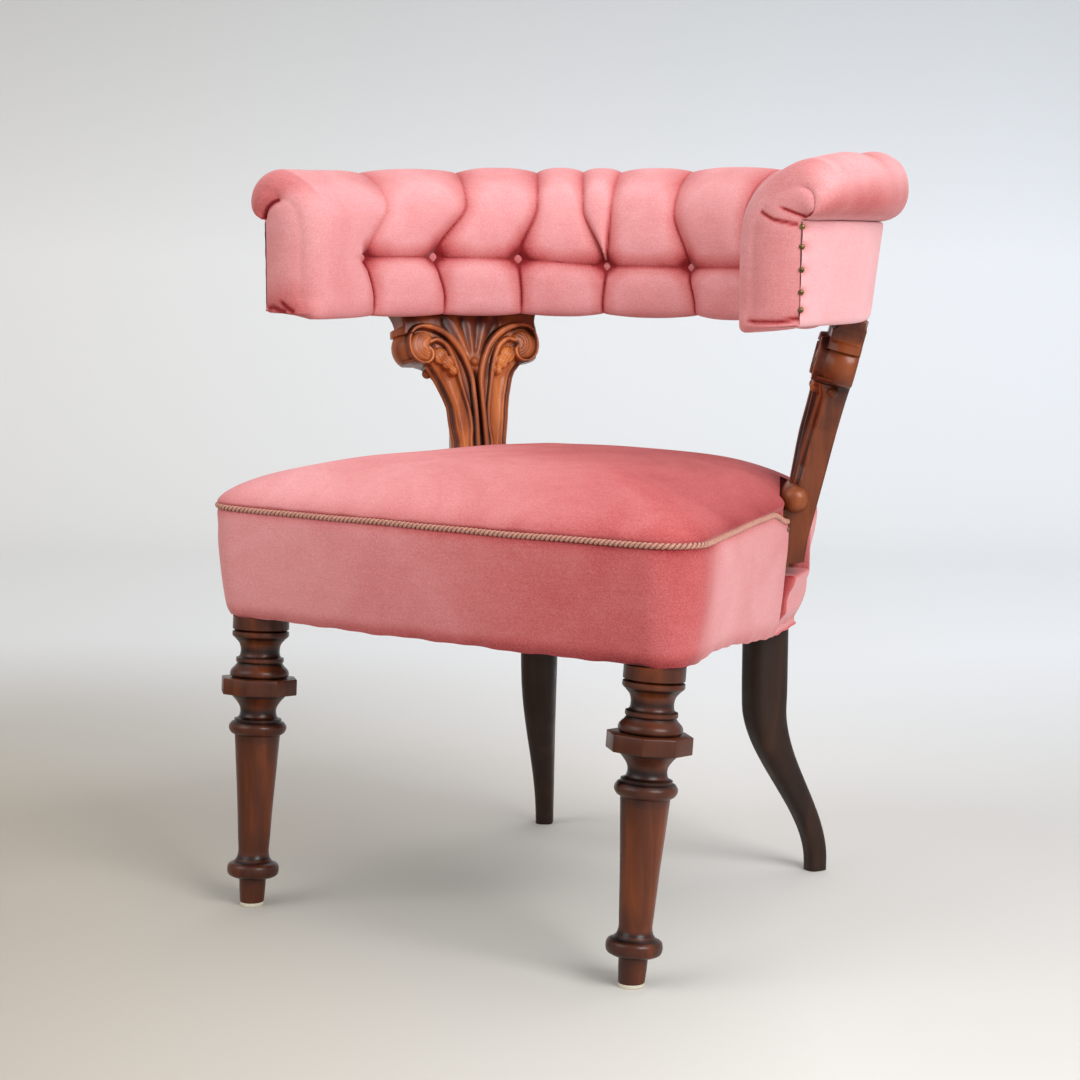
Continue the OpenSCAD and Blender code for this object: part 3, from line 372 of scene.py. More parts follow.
def blank(name, roughness, **plain):
    material = bpy.data.materials.new(name)
    material.use_nodes = True
    tree = material.node_tree
    shader = tree.nodes["Principled BSDF"]
    shader.inputs["Roughness"].default_value = roughness
    for key, value in plain.items():
        shader.inputs[key.replace("_", " ")].default_value = value
    return material, tree, shader


def grouped(tree, group, x, y, sockets=None):
    node = put(tree, "ShaderNodeGroup", x, y)
    node.node_tree = group
    for key, value in (sockets or {}).items():
        node.inputs[key].default_value = value
    return node


# source * weight + base, where base is a number or the output of a node
def weighted(tree, x, y, source, weight, base):
    node = put(tree, "ShaderNodeMath", x, y, operation="MULTIPLY_ADD")
    node.inputs[1].default_value = weight
    tree.links.new(source, node.inputs[0])
    if isinstance(base, float):
        node.inputs[2].default_value = base
    else:
        tree.links.new(base, node.inputs[2])
    return node.outputs[0]


def colourBy(tree, shader, x, y, level, stops):
    colours = ramp(tree, x, y, stops)
    tree.links.new(level, colours.inputs["Fac"])
    tree.links.new(colours.outputs["Color"], shader.inputs["Base Color"])


def roughBy(tree, shader, x, y, source, limits):
    spread = put(tree, "ShaderNodeMapRange", x, y, limits)
    tree.links.new(source, spread.inputs["Value"])
    tree.links.new(spread.outputs["Result"], shader.inputs["Roughness"])


def bumpBy(tree, shader, x, y, height, strength, distance):
    bump = put(tree, "ShaderNodeBump", x, y, {"Strength": strength, "Distance": distance})
    tree.links.new(height, bump.inputs["Height"])
    tree.links.new(bump.outputs["Normal"], shader.inputs["Normal"])


# velvet tones: the painted shade mask pulls the colour down towards the deep and shade tones
velvetLook = {
    "deep": (136, 36, 40), "shade": (188, 92, 92), "body": (214, 140, 140), "bright": (238, 184, 188),
    "stops": (0.0, 0.30, 0.62, 1.0), "base": 0.23, "pile": 0.42, "rows": 0.08, "foldShade": -0.75,
    "pileScale": 620.0, "bump": 0.55, "rowBump": 0.35, "bumpDepth": 0.0007,
    "sheenRoughness": 0.4, "sheenTint": (255, 222, 222), "specular": 0.12,
}
shades = ("deep", "shade", "body", "bright")


# velvet: a mask of painted shade darkens it into the creases and other shaded places, the nap group mottles it
def makeVelvet(name, look, lift=0.0, blotchScale=11.0, blotches=0.34, sheen=0.35):
    material, tree, shader = blank(
        name, 0.95, Sheen_Weight=sheen, Sheen_Roughness=look["sheenRoughness"],
        Specular_IOR_Level=look["specular"], Sheen_Tint=tone(*look["sheenTint"]),
    )
    nap = grouped(tree, napGroup, -900, 200, {"Blotch Scale": blotchScale, "Pile Scale": look["pileScale"]})
    foldShade = put(tree, "ShaderNodeAttribute", -900, -200, attribute_name="foldShade")
    level = look["base"] + lift
    weights = ((nap.outputs["Blotch"], blotches), (nap.outputs["Pile"], look["pile"]),
               (nap.outputs["Rows"], look["rows"]), (foldShade.outputs["Fac"], look["foldShade"]))
    for step, (source, weight) in enumerate(weights):
        level = weighted(tree, -650 + 160 * step, 250, source, weight, level)
    colourBy(tree, shader, 0, 200, level, [(stop, tone(*look[shade])) for stop, shade in zip(look["stops"], shades)])
    height = weighted(tree, -300, -300, nap.outputs["Rows"], look["rowBump"], nap.outputs["Pile"])
    bumpBy(tree, shader, -100, -300, height, look["bump"], look["bumpDepth"])
    return material


walnutLook = {"glazeAndShade": (18, 6, 3), "dark": (46, 18, 8), "body": (80, 35, 13), "bright": (118, 54, 16), "bump": 0.12}
# the two uprights take copies of one walnut, the left painted lighter and the right darker, as painted light and shade
uprightLitLook = {
    "glazeAndShade": (46, 19, 11), "dark": (112, 54, 30), "body": (178, 96, 48), "bright": (216, 130, 66), "bump": 0.10,
}
uprightShadedLook = {
    "glazeAndShade": (34, 13, 7), "dark": (78, 35, 18), "body": (128, 64, 30), "bright": (168, 90, 42), "bump": 0.10,
}
rearLook = {"glazeAndShade": (12, 6, 4), "dark": (28, 14, 8), "body": (44, 24, 14), "bright": (60, 34, 20), "bump": 0.15}
# how much each mask moves the tone of the wood, and where the tones lie on the ramp
polish = {
    "specular": 0.24, "coatRoughness": 0.2, "pores": 0.14, "wearAndHighlight": 0.45, "recessAndShade": -0.7, "bumpDepth": 0.0004,
    "stops": {"glazeAndShade": 0.0, "dark": 0.28, "body": 0.68, "bright": 1.15 / 1.2},
    "figure": {"From Min": 0.25, "From Max": 0.75, "To Min": 0.2, "To Max": 0.78},
}


# polished wood: one mask lays the dark glaze in the hollows and painted shade over the top of the carving, the other
# thins it on the high places and paints highlights on the carving
def makeWood(name, look, roughness=0.36, coat=0.18, stretch=(38.0, 38.0, 4.5)):
    material, tree, shader = blank(
        name, roughness, Coat_Weight=coat, Coat_Roughness=polish["coatRoughness"],
        Specular_IOR_Level=polish["specular"],
    )
    grain = grouped(tree, grainGroup, -900, 200, {"Stretch": stretch})
    recessAndShade = put(tree, "ShaderNodeAttribute", -900, -250, attribute_name="recessAndShade")
    wearAndHighlight = put(tree, "ShaderNodeAttribute", -900, -450, attribute_name="wearAndHighlight")
    spread = put(tree, "ShaderNodeMapRange", -650, 200, polish["figure"])
    tree.links.new(grain.outputs["Figure"], spread.inputs["Value"])
    level = weighted(tree, -450, 150, grain.outputs["Pores"], polish["pores"], spread.outputs["Result"])
    level = weighted(tree, -280, 100, wearAndHighlight.outputs["Fac"], polish["wearAndHighlight"], level)
    level = weighted(tree, -120, 50, recessAndShade.outputs["Fac"], polish["recessAndShade"], level)
    colourBy(tree, shader, 60, 100, level, [(stop, tone(*look[shade])) for shade, stop in polish["stops"].items()])
    dull = {"From Min": 0.3, "From Max": 0.75, "To Min": roughness - 0.08, "To Max": roughness + 0.16}
    roughBy(tree, shader, 60, -200, grain.outputs["Polish"], dull)
    bumpBy(tree, shader, 60, -500, grain.outputs["Pores"], look["bump"], polish["bumpDepth"])
    return material


# a finish of two tones mixed by a fine grain, for cord, brass, felt and the linings
def makePlain(name, low, high, scale, roughness, bump=0.2, metallic=0.0, stretch=(1.0, 1.0, 1.0), **plain):
    material, tree, shader = blank(name, roughness, Metallic=metallic, **plain)
    link = tree.links.new
    place = put(tree, "ShaderNodeTexCoord", -900)
    spread = put(tree, "ShaderNodeMapping", -700, 0, {"Scale": stretch})
    grains = put(tree, "ShaderNodeTexNoise", -500, 0, {"Scale": scale, "Detail": 4.0, "Roughness": 0.65})
    link(place.outputs["Object"], spread.inputs["Vector"])
    link(spread.outputs["Vector"], grains.inputs["Vector"])
    # the cord's mask paints shade where its strands meet
    recessAndShade = put(tree, "ShaderNodeAttribute", -500, 300, attribute_name="recessAndShade")
    level = weighted(tree, -380, 200, recessAndShade.outputs["Fac"], polish["recessAndShade"], grains.outputs["Fac"])
    dark = tone(*(c * 0.55 for c in low))
    colourBy(tree, shader, -250, 100, level, [(0.0, dark), (0.36, tone(*low)), (0.68, tone(*high))])
    roughBy(tree, shader, -250, -150, grains.outputs["Fac"], {"To Min": roughness - 0.08, "To Max": roughness + 0.1})
    bumpBy(tree, shader, -250, -400, grains.outputs["Fac"], bump, 0.0005)
    return material


# copies of one velvet with painted light: the outer panel is lifted lighter, the seat made darker, the back and band
# shifted a little
velvetBack = makeVelvet("velvetBack", velvetLook, 0.06)
velvetPanelLit = makeVelvet("velvetPanelLit", velvetLook, 0.18, 9.0, 0.34, 0.5)
velvetSeatShaded = makeVelvet("velvetSeatShaded", velvetLook, -0.07, 7.0, 0.5, 0.12)
velvetBand = makeVelvet("velvetBand", velvetLook, -0.02, 9.0)
walnut = makeWood("walnut", walnutLook)
walnutUprightLit = makeWood("walnutUprightLit", uprightLitLook)
walnutUprightShaded = makeWood("walnutUprightShaded", uprightShadedLook)
walnutRear = makeWood("walnutRear", rearLook, roughness=0.5, coat=0.1)
cordTwist = makePlain("cordTwist", (160, 100, 84), (212, 158, 134), 900.0, 0.72, 0.5, Sheen_Weight=0.3)
brass = makePlain("agedBrass", (70, 58, 36), (158, 132, 78), 260.0, 0.42, 0.15, 0.85)
felt = makePlain("glideFelt", (186, 176, 156), (216, 208, 190), 700.0, 0.9, 0.4)
beech = makePlain("beech", (176, 136, 92), (204, 166, 118), 30.0, 0.6, 0.15, stretch=(6.0, 6.0, 1.0))
hessian = makePlain("hessian", (150, 118, 78), (182, 150, 104), 500.0, 0.95, 0.6)
jute = makePlain("juteWeb", (158, 130, 92), (196, 168, 124), 420.0, 0.9, 0.5)
blackCloth = makePlain("blackCloth", (24, 24, 25), (44, 43, 44), 900.0, 0.95, 0.5)
springSteel = makePlain("springSteel", (96, 98, 100), (150, 152, 154), 300.0, 0.38, 0.1, 0.9)
print("materials made")


# back pad

padForm = {
    # section from the hem under the rail, up the buttoned face, over the roll and back under it
    "section": [
        (282, 603.0), (277, 602.2), (270, 599.4), (263, 597.0), (257.2, 597.8), (253.6, 602.6), (251.8, 611),
        (251.0, 625), (250.6, 640), (250.4, 656), (250.8, 675), (252.4, 693), (256, 711), (264, 728), (277, 742),
        (292, 751.6), (306, 757.8), (318, 760.2), (330, 758.4), (340, 752.6), (347, 743), (349.6, 731), (348, 719),
        (342.4, 709.6), (333.5, 703.8), (324, 701.2), (312, 700.6), (298, 700.4),
    ],
    "rows": 128, "backR": 282.1, "top": 700.4, "level": 656.0, "hemTop": 606.0,
    # angles of the buttons round the bow, from the right arm, and their heights
    "buttons": [2, 24, 46, 68, 90, 112, 134, 156, 178],
    "buttonZ": [660, 656, 653, 652, 651.5, 652, 659.5, 661.5, 661.5],
    # pleats above and below: angle at the button, angle at the far end, share of the full depth
    "upper": [
        (2, 9, 0.4), (24, 30, 0.9), (46, 51.5, 1.0), (68, 74, 1.0), (90, 95.5, 0.9), (112, 111, 0.75),
        (112, 119, 0.8), (134, 128.6, 1.0), (156, 145.6, 1.0), (178, 168, 0.2),
    ],
    "lower": [
        (2, 4.5, 0.9), (24, 25.5, 1.0), (46, 46.8, 1.0), (68, 67.6, 1.0), (90, 88, 0.9), (112, 112.8, 1.0),
        (134, 133.3, 1.0), (156, 153.6, 1.0), (178, 175.4, 1.1),
    ],
    # by height from the buttons: depth of the valleys between the puffs, and of the line in each
    "upDepth": ([0, 20, 50, 90, 130, 170, 205], [7.0, 7.6, 4.8, 2.9, 2.4, 1.4, 0.0]),
    "upLine": ([0, 40, 100, 150, 190], [0.9, 1.2, 0.8, 0.5, 0.0]),
    "lowDepth": ([-90, -70, -50, -25, 0], [0.0, 1.8, 4.0, 5.2, 6.2]),
    "lowLine": ([-75, -50, 0], [0.6, 1.6, 1.8]),
    "crease": 8.8, "dimple": 5.2, "puff": 3.2, "overhang": 3.4,
    # angle round the bow, and how far the roll stands above its section there
    "settle": (
        [-19, -13, -6, 1, 12, 32, 52, 72, 132, 150, 165, 180, 190, 199],
        [-8.5, -6.0, -2.0, 1.5, 4.6, 4.8, 2.6, 0, 0, -2.4, -5.2, -7.8, -8.6, -9.0],
    ),
    # painted shade, how much darker the velvet is: on the roll's outer side, over its top, on the right and left
    # front, then low on the left front and towards its roll
    "rollShade": 0.5, "topShade": 0.34, "frontShade": (0.17, 0.10), "lowShade": 0.30, "endShade": 0.42,
    # arm fronts: round edge, swell, outer corner, and the point under the roll where the cloth is gathered
    "edgeR": 25.0, "frontBulge": 4.6, "cornerR": 321.0, "gather": (323.0, 703.4), "gatherUp": (20.0, 37.0),
    # folds in the arm fronts: line, depth, half width
    "rightFolds": [
        ([(319, 746), (324, 742), (333, 737), (338.5, 730), (340.8, 717.6), (337.9, 709.6), (327.9, 703.7)], 4.2, 2.0),
        ([(301, 714.2), (313.5, 708.7), (324.8, 703.7)], 1.7, 1.4),
        ([(270.7, 715.2), (282.4, 707.9), (293.6, 701.5), (315.8, 697.0)], 1.9, 1.5),
        ([(264, 610.0), (276, 607.2), (300, 607.4), (318, 611.5)], 2.0, 1.4),
    ],
    "leftFolds": [
        ([(324.7, 698.7), (321, 707), (316.1, 715.5), (309, 722), (302.1, 725.9)], 4.6, 2.0),
        ([(319, 607), (308, 609), (300, 606), (292, 604)], 2.6, 1.8),
        ([(296, 615), (288, 609), (280, 605)], 1.8, 1.8),
    ],
}


# nearest pleat: how far away it is, the share of the way to its neighbour, and its depth
def pleats(lines, share, angle, perDegree):
    places = np.stack([start + (end - start) * share for start, end, _ in lines])
    depths = np.array([d for _, _, d in lines]).reshape(-1, *([1] * angle.ndim))
    away = (angle - places) * perDegree
    near = np.argmin(np.abs(away), axis=0)[None]
    first = np.take_along_axis(np.abs(away), near, 0)[0]
    side = np.sign(np.take_along_axis(away, near, 0)[0])
    other = np.where(np.sign(away) == -side, np.abs(away), 90.0).min(axis=0)
    depth = np.take_along_axis(np.broadcast_to(depths, away.shape), near, 0)[0]
    return first, np.clip(2 * first / (first + other), 0, 1), depth


# how far the cloth stands from the plain section, outwards positive, by angle round the bow and length up
# the section; how far it hangs over the creases; and the painted shade along its pleats and over its creases
def tufting(form, angle, up, radius):
    perDegree = np.pi / 180 * radius
    first, last = form["buttons"][0], form["buttons"][-1]
    rise = up - (np.interp(angle, form["buttons"], form["buttonZ"]) - form["level"])
    inside = smoothStep((angle - first + 5) / 5) * smoothStep((last + 5 - angle) / 5)
    upShare = 0.78 * smoothStep(rise / 64) + 0.22 * smoothStep(rise / 150)
    upper = pleats(form["upper"], upShare, angle, perDegree)
    lower = pleats(form["lower"], smoothStep(-rise / 45), angle, perDegree)
    above = rise > 0
    away, across, deep = (np.where(above, a, b) for a, b in zip(upper, lower))
    fullness = 1 - (1 - across) ** 2.5
    reach = np.where(above, np.interp(rise, *form["upDepth"]), np.interp(rise, *form["lowDepth"]))
    reach = reach * (0.35 + 0.65 * deep)
    line = np.where(above, np.interp(rise, *form["upLine"]), np.interp(rise, *form["lowLine"])) * deep
    valley = np.where(above, (1 - np.clip(rise / 36, 0, 1)) ** 2.4, (1 - np.clip(-rise / 30, 0, 1)) ** 2.0)
    crease = form["crease"] * inside * valley * (1 - 0.38 * across)
    offButton = np.abs(angle[..., None] - np.array(form["buttons"])).min(axis=-1) * perDegree
    toButton = np.hypot(offButton, rise)
    depth = np.hypot(reach * (1 - fullness), crease)
    depth = depth + line * np.exp(-(away / 1.7) ** 2) * smoothStep(np.abs(rise) / 6)
    depth = depth + form["dimple"] * np.exp(-(toButton / 9.5) ** 2)
    creaseLine = 0.25 * inside * np.exp(-(rise / 2.2) ** 2) * (1 - np.exp(-(toButton / 12) ** 2))
    # fine folds that run out from each button
    spoke = np.arctan2(rise, (angle - 90) * perDegree % 96 - 48)
    star = 0.55 * np.sin(9 * spoke + angle) * np.exp(-((toButton - 17) / 8) ** 2)
    opened = smoothStep((rise + 76) / 30) * smoothStep((190 - rise) / 60)
    height = form["puff"] * fullness * opened - depth - creaseLine + star * 0.6
    hang = np.where(above, np.exp(-((rise - 7) / 6) ** 2), 0.0)
    lean = form["overhang"] * inside * hang * (1 - np.exp(-(toButton / 10) ** 2))
    # painted shade: a dark line down each pleat, and a band along and just above the crease where the upper puff hangs
    # over it
    pleatShade = line * np.exp(-(away / 1.5) ** 2) * 0.30 * (1 - 0.6 * smoothStep(rise / 110))
    shade = inside * (0.14 * np.exp(-(rise / 2.4) ** 2) + 0.30 * np.exp(-((rise - 7) / 9) ** 2))
    return height, lean, np.clip(pleatShade + shade, 0, 0.6)


# painted shade: darker on the outer side of the roll, towards its underside, and over its top
def rollShading(form, r, z, up):
    outside = form["rollShade"] * smoothStep((r - 328) / 14) * smoothStep((746 - z) / 34)
    return outside + form["topShade"] * smoothStep((up - 62) / 50) * smoothStep((175 - up) / 40)


# points round the bow at angles from the right arm; before 0 and past 180 degrees they run along the arms
def roundBow(angles, r, z, perMm):
    t = np.radians(np.clip(angles, 0, 180))[:, None]
    forward = np.where(angles < 0, angles, np.where(angles > 180, 180 - angles, 0))[:, None] / perMm
    return np.stack([r * np.cos(t), bow["midY"] + r * np.sin(t) + forward, z], axis=-1)


# section points with their directions, outward normals and lengths measured up from the buttons
def padSection(form):
    line = curveThrough(form["section"], form["rows"])
    s = lengthAlong(line)
    face = np.argmin(np.abs(line[:, 1] - form["level"]) + (line[:, 0] > 270) * 1e3)
    way = unit(np.gradient(line, axis=0))
    return line, way, leftOf(way), s - s[face]


def makePad(form):
    line, way, normal, up = padSection(form)
    rows = len(line)
    perFace = 180 / math.pi / bow["faceR"]
    hemTop, corner, edgeR = form["hemTop"], form["cornerR"], form["edgeR"]
    backZ = (670, 635, hemTop)
    backRow = [(form["backR"] + 14, form["top"]), (form["backR"], form["top"] - 0.2)]
    backRow += [(form["backR"], z) for z in backZ]
    backFront = [(corner, form["top"] - 0.2), (corner, form["top"] - 1.0)] + [(corner, z) for z in backZ]
    # the same section with its hem and underside carried out to the corner of the arm
    stretched = line.copy()
    hem = line[:, 1] < hemTop
    stretched[hem, 0] = np.interp(line[hem, 0], [252, 282], [253, corner])
    stretched[hem, 1] = np.interp(line[hem, 1], [597, hemTop], [600.5, hemTop])
    under = (up > 150) & (line[:, 1] < 704) & (line[:, 0] < 333)
    stretched[under, 0] = np.interp(line[under, 0], [298, 333], [corner, 333])
    # where each row of the section ends in the front: up the corner, then all in the gather
    gather = np.array(form["gather"])
    low, high = form["gatherUp"]
    faceShare = np.clip((line[:, 1] - hemTop) / (690 - hemTop), 0, 1)
    goal = np.stack([np.full(rows, corner - 0.4), hemTop + faceShare * (gather[1] - 4 - hemTop)], axis=1)
    lowZ = goal[np.argmin(np.abs(up - low)), 1]
    goal[up > high] = gather
    closing = (up > low) & (up <= high)
    goal[closing, 0] = np.interp(up[closing], [low, high], [corner - 0.4, gather[0]])
    goal[closing, 1] = np.interp(up[closing], [low, high], [lowZ, gather[1]])

    arms = np.linspace(0, -(bow["midY"] - bow["frontY"] - edgeR) * perFace, 26)[1:]
    angles = np.concatenate([arms[::-1], np.linspace(0, 180, 545), 180 - arms])
    a, u = np.meshgrid(angles, up, indexing="ij")
    onArm = (a < 0) | (a > 180)
    height, lean, pleatShade = tufting(form, a, u, np.where(onArm, bow["faceR"], line[None, :, 0]))
    wave = 0.35 * np.sin(a * 0.31 + 2) * np.sin(u / 19 + a * 0.05) + 0.25 * np.sin(a * 0.83) * np.sin(u / 11)
    seen = smoothStep((u - up[0] - 4) / 22) * smoothStep((up[-1] - 10 - u) / 30)
    height = (height + wave * smoothStep((u + 60) / 30)) * seen
    rz = line[None] + normal[None] * height[..., None] - way[None] * lean[..., None]

    def settled(section, angle):
        out = section.copy()
        out[..., 1] += np.interp(angle, *form["settle"]) * smoothStep((section[..., 1] - 695) / 60)
        return out

    body = roundBow(angles, *np.moveaxis(settled(rz, a), -1, 0), perFace)
    back = np.broadcast_to(np.array(backRow, float).T[:, None], (2, len(angles), len(backRow)))
    back = roundBow(angles, *back, perFace)
    # painted shade: darker the deeper the cloth sinks, along the pleats, and on the roll
    foldShade = np.clip((-height + 0.5) / 12 + pleatShade * seen + rollShading(form, rz[..., 0], rz[..., 1], u), 0, 1)
    points = np.concatenate([body, back], axis=1)
    foldShades = np.concatenate([foldShade, np.zeros((len(angles), len(backRow)))], axis=1)

    # the rounded front of one arm, closed towards the corner where the tacks are
    def front(sign, sideFolds):
        lastAngle = arms[-1] if sign > 0 else 180 - arms[-1]
        endUp = tufting(form, np.full(rows, lastAngle), up, np.full(rows, bow["faceR"]))[0] * seen[0]
        flat = stretched + normal * endUp[:, None]
        radius = np.minimum(edgeR, np.linalg.norm(goal - flat, axis=1) * 0.55)
        radius = radius * np.interp(up, [up[0], up[0] + 30, up[0] + 48], [0.25, 0.3, 1.0])
        toGoal = goal - flat
        toGoal /= np.maximum(np.linalg.norm(toGoal, axis=1), 1e-6)[:, None]
        rings, marks = [], []
        for t in np.radians(np.linspace(0, 90, 11))[1:]:
            yRow = bow["frontY"] + edgeR * (1 - np.sin(t))
            ahead = yRow <= bow["frameY"] + 0.4
            kept = np.zeros(rows, bool) if ahead else hem | under
            base = np.where(kept[:, None], line + normal * endUp[:, None], flat)
            ring = base + toGoal * (radius * (1 - np.cos(t)))[:, None]
            yBack = yRow
            if ahead:
                yBack = bow["frameY"] - 2.6 * (bow["frameY"] - yRow) / (bow["frameY"] - bow["frontY"])
            rings.append((ring, np.full(rows, yRow), np.array(backFront if ahead else backRow, float), yBack))
            # painted shade where the puffs sink at the end of the arm
            marks.append(np.clip(-endUp / 11, 0, 1))
        start = flat + toGoal * radius[:, None]
        for t in np.linspace(0, 1, 27)[1:]:
            ring = start + (goal - start) * t
            swell = np.clip(np.linalg.norm(goal - start, axis=1) / 50, 0, 1)
            bulge = form["frontBulge"] * np.sin(np.pi * t ** 0.8) * swell
            depth, mark = np.zeros(rows), np.zeros(rows)
            for path, deep, wide in sideFolds:
                away, along = toLine(ring, path)
                fade = smoothStep(along * 5) * 0.6 + 0.4
                soft = np.exp(-(away / (wide * 4)) ** 2)
                depth += fade * (deep * 0.55 * np.exp(-(away / wide) ** 2) + deep * 0.45 * soft)
                # painted shade in each fold
                mark = np.maximum(mark, fade * np.exp(-(away / (wide * 1.3)) ** 2))
            yRow = bow["frontY"] - bulge + np.minimum(depth, 5.5) + 1.6 * t ** 8
            rings.append((ring, yRow, np.array(backFront, float), bow["frontY"] + 1.2))
            marks.append(mark)
        made, shade = [], []
        for step, ((ring, yRow, backs, yBack), mark) in enumerate(zip(rings, marks)):
            # painted shade on the arm fronts: the right and left fronts darker, the left also low down and towards its
            # roll; the roll's shade fades out onto the cap
            onCap = smoothStep(step / 13)
            paintedShade = form["frontShade"][0 if sign > 0 else 1]
            if sign < 0:
                paintedShade = paintedShade + form["lowShade"] * smoothStep((650 - ring[:, 1]) / 45)
                paintedShade = paintedShade + form["endShade"] * smoothStep((up - 84) / 26)
            side = rollShading(form, line[:, 0], line[:, 1], up)
            mark = np.clip(mark * 0.85 + paintedShade * onCap + side * (1 - onCap), 0, 1)
            forward = (bow["midY"] - np.asarray(yRow)) * perFace
            drop = settled(ring, -forward if sign > 0 else 180 + forward)
            made.append(np.concatenate([
                np.stack([sign * drop[:, 0], yRow, drop[:, 1]], axis=1),
                np.stack([sign * backs[:, 0], np.full(len(backs), yBack), backs[:, 1]], axis=1),
            ]))
            shade.append(np.concatenate([mark, np.zeros(len(backs))]))
        return np.array(made), np.array(shade)

    rightFront, rightMarks = front(1, form["rightFolds"])
    leftFront, leftMarks = front(-1, form["leftFolds"])
    points = np.concatenate([rightFront[::-1], points, leftFront])
    foldShades = np.concatenate([rightMarks[::-1], foldShades, leftMarks])
    return shapedGrid("backPad", points, closed=True, capped=True, masks={"foldShade": foldShades}, merge=0.01)


backPad = finished(makePad(padForm), velvetBack, ("back_pad", "arm_facing_left", "arm_facing_right"), 60)
print("back pad made", len(backPad.data.polygons))


# covered buttons

buttonForm = {"radius": 6.6, "thick": 4.6, "seatR": 267.0, "shade": 0.3}


def makeButtons(form):
    made = []
    for angle, z in zip(padForm["buttons"], padForm["buttonZ"]):
        button = flatBall(form["radius"], form["thick"], 28, 16)
        t = math.radians(angle)
        # Z of the ball turns to face the middle of the bow
        place = at(form["seatR"] * math.cos(t), bow["midY"] + form["seatR"] * math.sin(t), z)
        moved(button, place @ rotated(angle, "Z") @ rotated(-90, "Y"))
        # painted shade on the sunk buttons
        setMask(button, "foldShade", form["shade"])
        made.append(button)
    return joined("coveredButtons", made)


coveredButtons = finished(makeButtons(buttonForm), velvetBack, ("back_buttons",), 60)
print("buttons made")


# outer panel of the back, with the strip under the rail

panelForm = {
    # upright section, its top edge first; it leans in towards its foot away from the arm fronts
    "section": [
        (319.6, 700.0), (321.4, 700.6), (323.0, 699.4), (323.2, 690), (322.9, 672), (322.6, 655), (322.3, 640),
        (322.1, 625), (321.9, 614), (321.0, 607), (318.0, 603.4), (312, 602.5), (300, 602.4), (290, 602.4),
        (284.6, 602.8),
    ],
    "lean": 7.0, "fullness": 2.2, "thick": 1.3, "rows": 74, "wave": 0.9, "pull": 1.7, "footZ": 604.0,
    "tackZ": [619, 635, 655.5, 676.5, 694.5],
}


def makePanel(form):
    line = curveThrough(form["section"], form["rows"])
    outward = leftOf(unit(np.gradient(line, axis=0)))
    if outward[len(line) // 3, 0] < 0:
        outward = -outward
    loop = np.concatenate([line, (line - outward * form["thick"])[::-1]])
    lift = np.concatenate([np.ones(len(line)), np.zeros(len(line))])
    perMm = 180 / math.pi / bow["outerR"]
    armYs = np.linspace(0, bow["midY"] - bow["frameY"] + 2.2, 40)[1:]
    angles = np.concatenate([-(armYs * perMm)[::-1], np.linspace(0, 180, 361), 180 + armYs * perMm])
    r = loop[None, :, 0] + np.zeros((len(angles), 1))
    z = loop[None, :, 1] + np.zeros((len(angles), 1))
    fromEdge = np.minimum(angles - angles[0], angles[-1] - angles)[:, None] / perMm
    onFace = np.clip((loop[:, 0] - 285) / 33, 0, 1)
    r = r - form["lean"] * smoothStep(fromEdge / 80) * np.clip((697 - z) / 92, 0, 1) * onFace
    r = r + form["fullness"] * smoothStep(fromEdge / 60) * np.clip((z - form["footZ"]) / 90, 0, 1)
    along = np.radians(angles)[:, None] * bow["outerR"]
    wobble = form["wave"] * (np.sin(along / 21) * 0.5 + np.sin(along / 9.3 + 1.3) * 0.35 + np.sin(along / 47) * 0.5)
    low = smoothStep((640 - loop[:, 1]) / 36)
    z = z + wobble * low * 0.7 * (loop[:, 1] > form["footZ"])
    r = r + wobble * low * 0.5
    # slack between the tacks at each front edge
    between = np.abs(z[..., None] - np.array(form["tackZ"])).min(axis=-1)
    dent = form["pull"] * np.exp(-(fromEdge / 7.0) ** 1.3) * np.exp(-(between / 4.0) ** 2)
    ray = 0.5 * np.exp(-fromEdge / 16) * np.cos(np.clip(between, 0, 8) / 8 * math.pi)
    r = r - (dent + ray * 0.5 + 0.9 * np.exp(-(fromEdge / 2.0) ** 2)) * lift * (z > form["footZ"] + 2)
    points = roundBow(angles, r, z, perMm)
    # painted shade in the dents between the tacks
    foldShade = np.clip(dent / 2.0, 0, 1) * lift
    return shapedGrid("outerPanel", points, closed=True, capped=True, masks={"foldShade": foldShade})


outerPanel = finished(makePanel(panelForm), velvetPanelLit, ("outer_panel", "bow_under_cover"), 50)
print("outer panel made")


# seat outline

seatForm = {
    "frontX": 296.5, "frontY": 281.0, "frontBow": 6.0, "rearY": 178.0, "cornerR": 41.0, "rearR": 40.0,
    "sideReach": 236.0, "rearReach": 266.0, "flatNear": 38.0, "flatFar": 86.0, "sideBend": 120.0,
    "frontBowR": 4000.0, "rearBowR": 1500.0,
    "low": 299.0, "cordZ": 411.0, "crown": 470.0, "tailHalf": 31.3,
}
normalOut = np.array([math.cos(math.radians(board["turn"])), math.sin(math.radians(board["turn"]))])
normalAcross = np.array([-normalOut[1], normalOut[0]])
bowMid = np.array([0.0, bow["midY"]])


def byUpright(reach, along):
    return bowMid + normalOut * reach + normalAcross * (along + board["shift"])


def acrossUpright(p):
    return (np.abs(p) * [1, 0] + p * [0, 1] - bowMid) @ normalAcross - board["shift"]


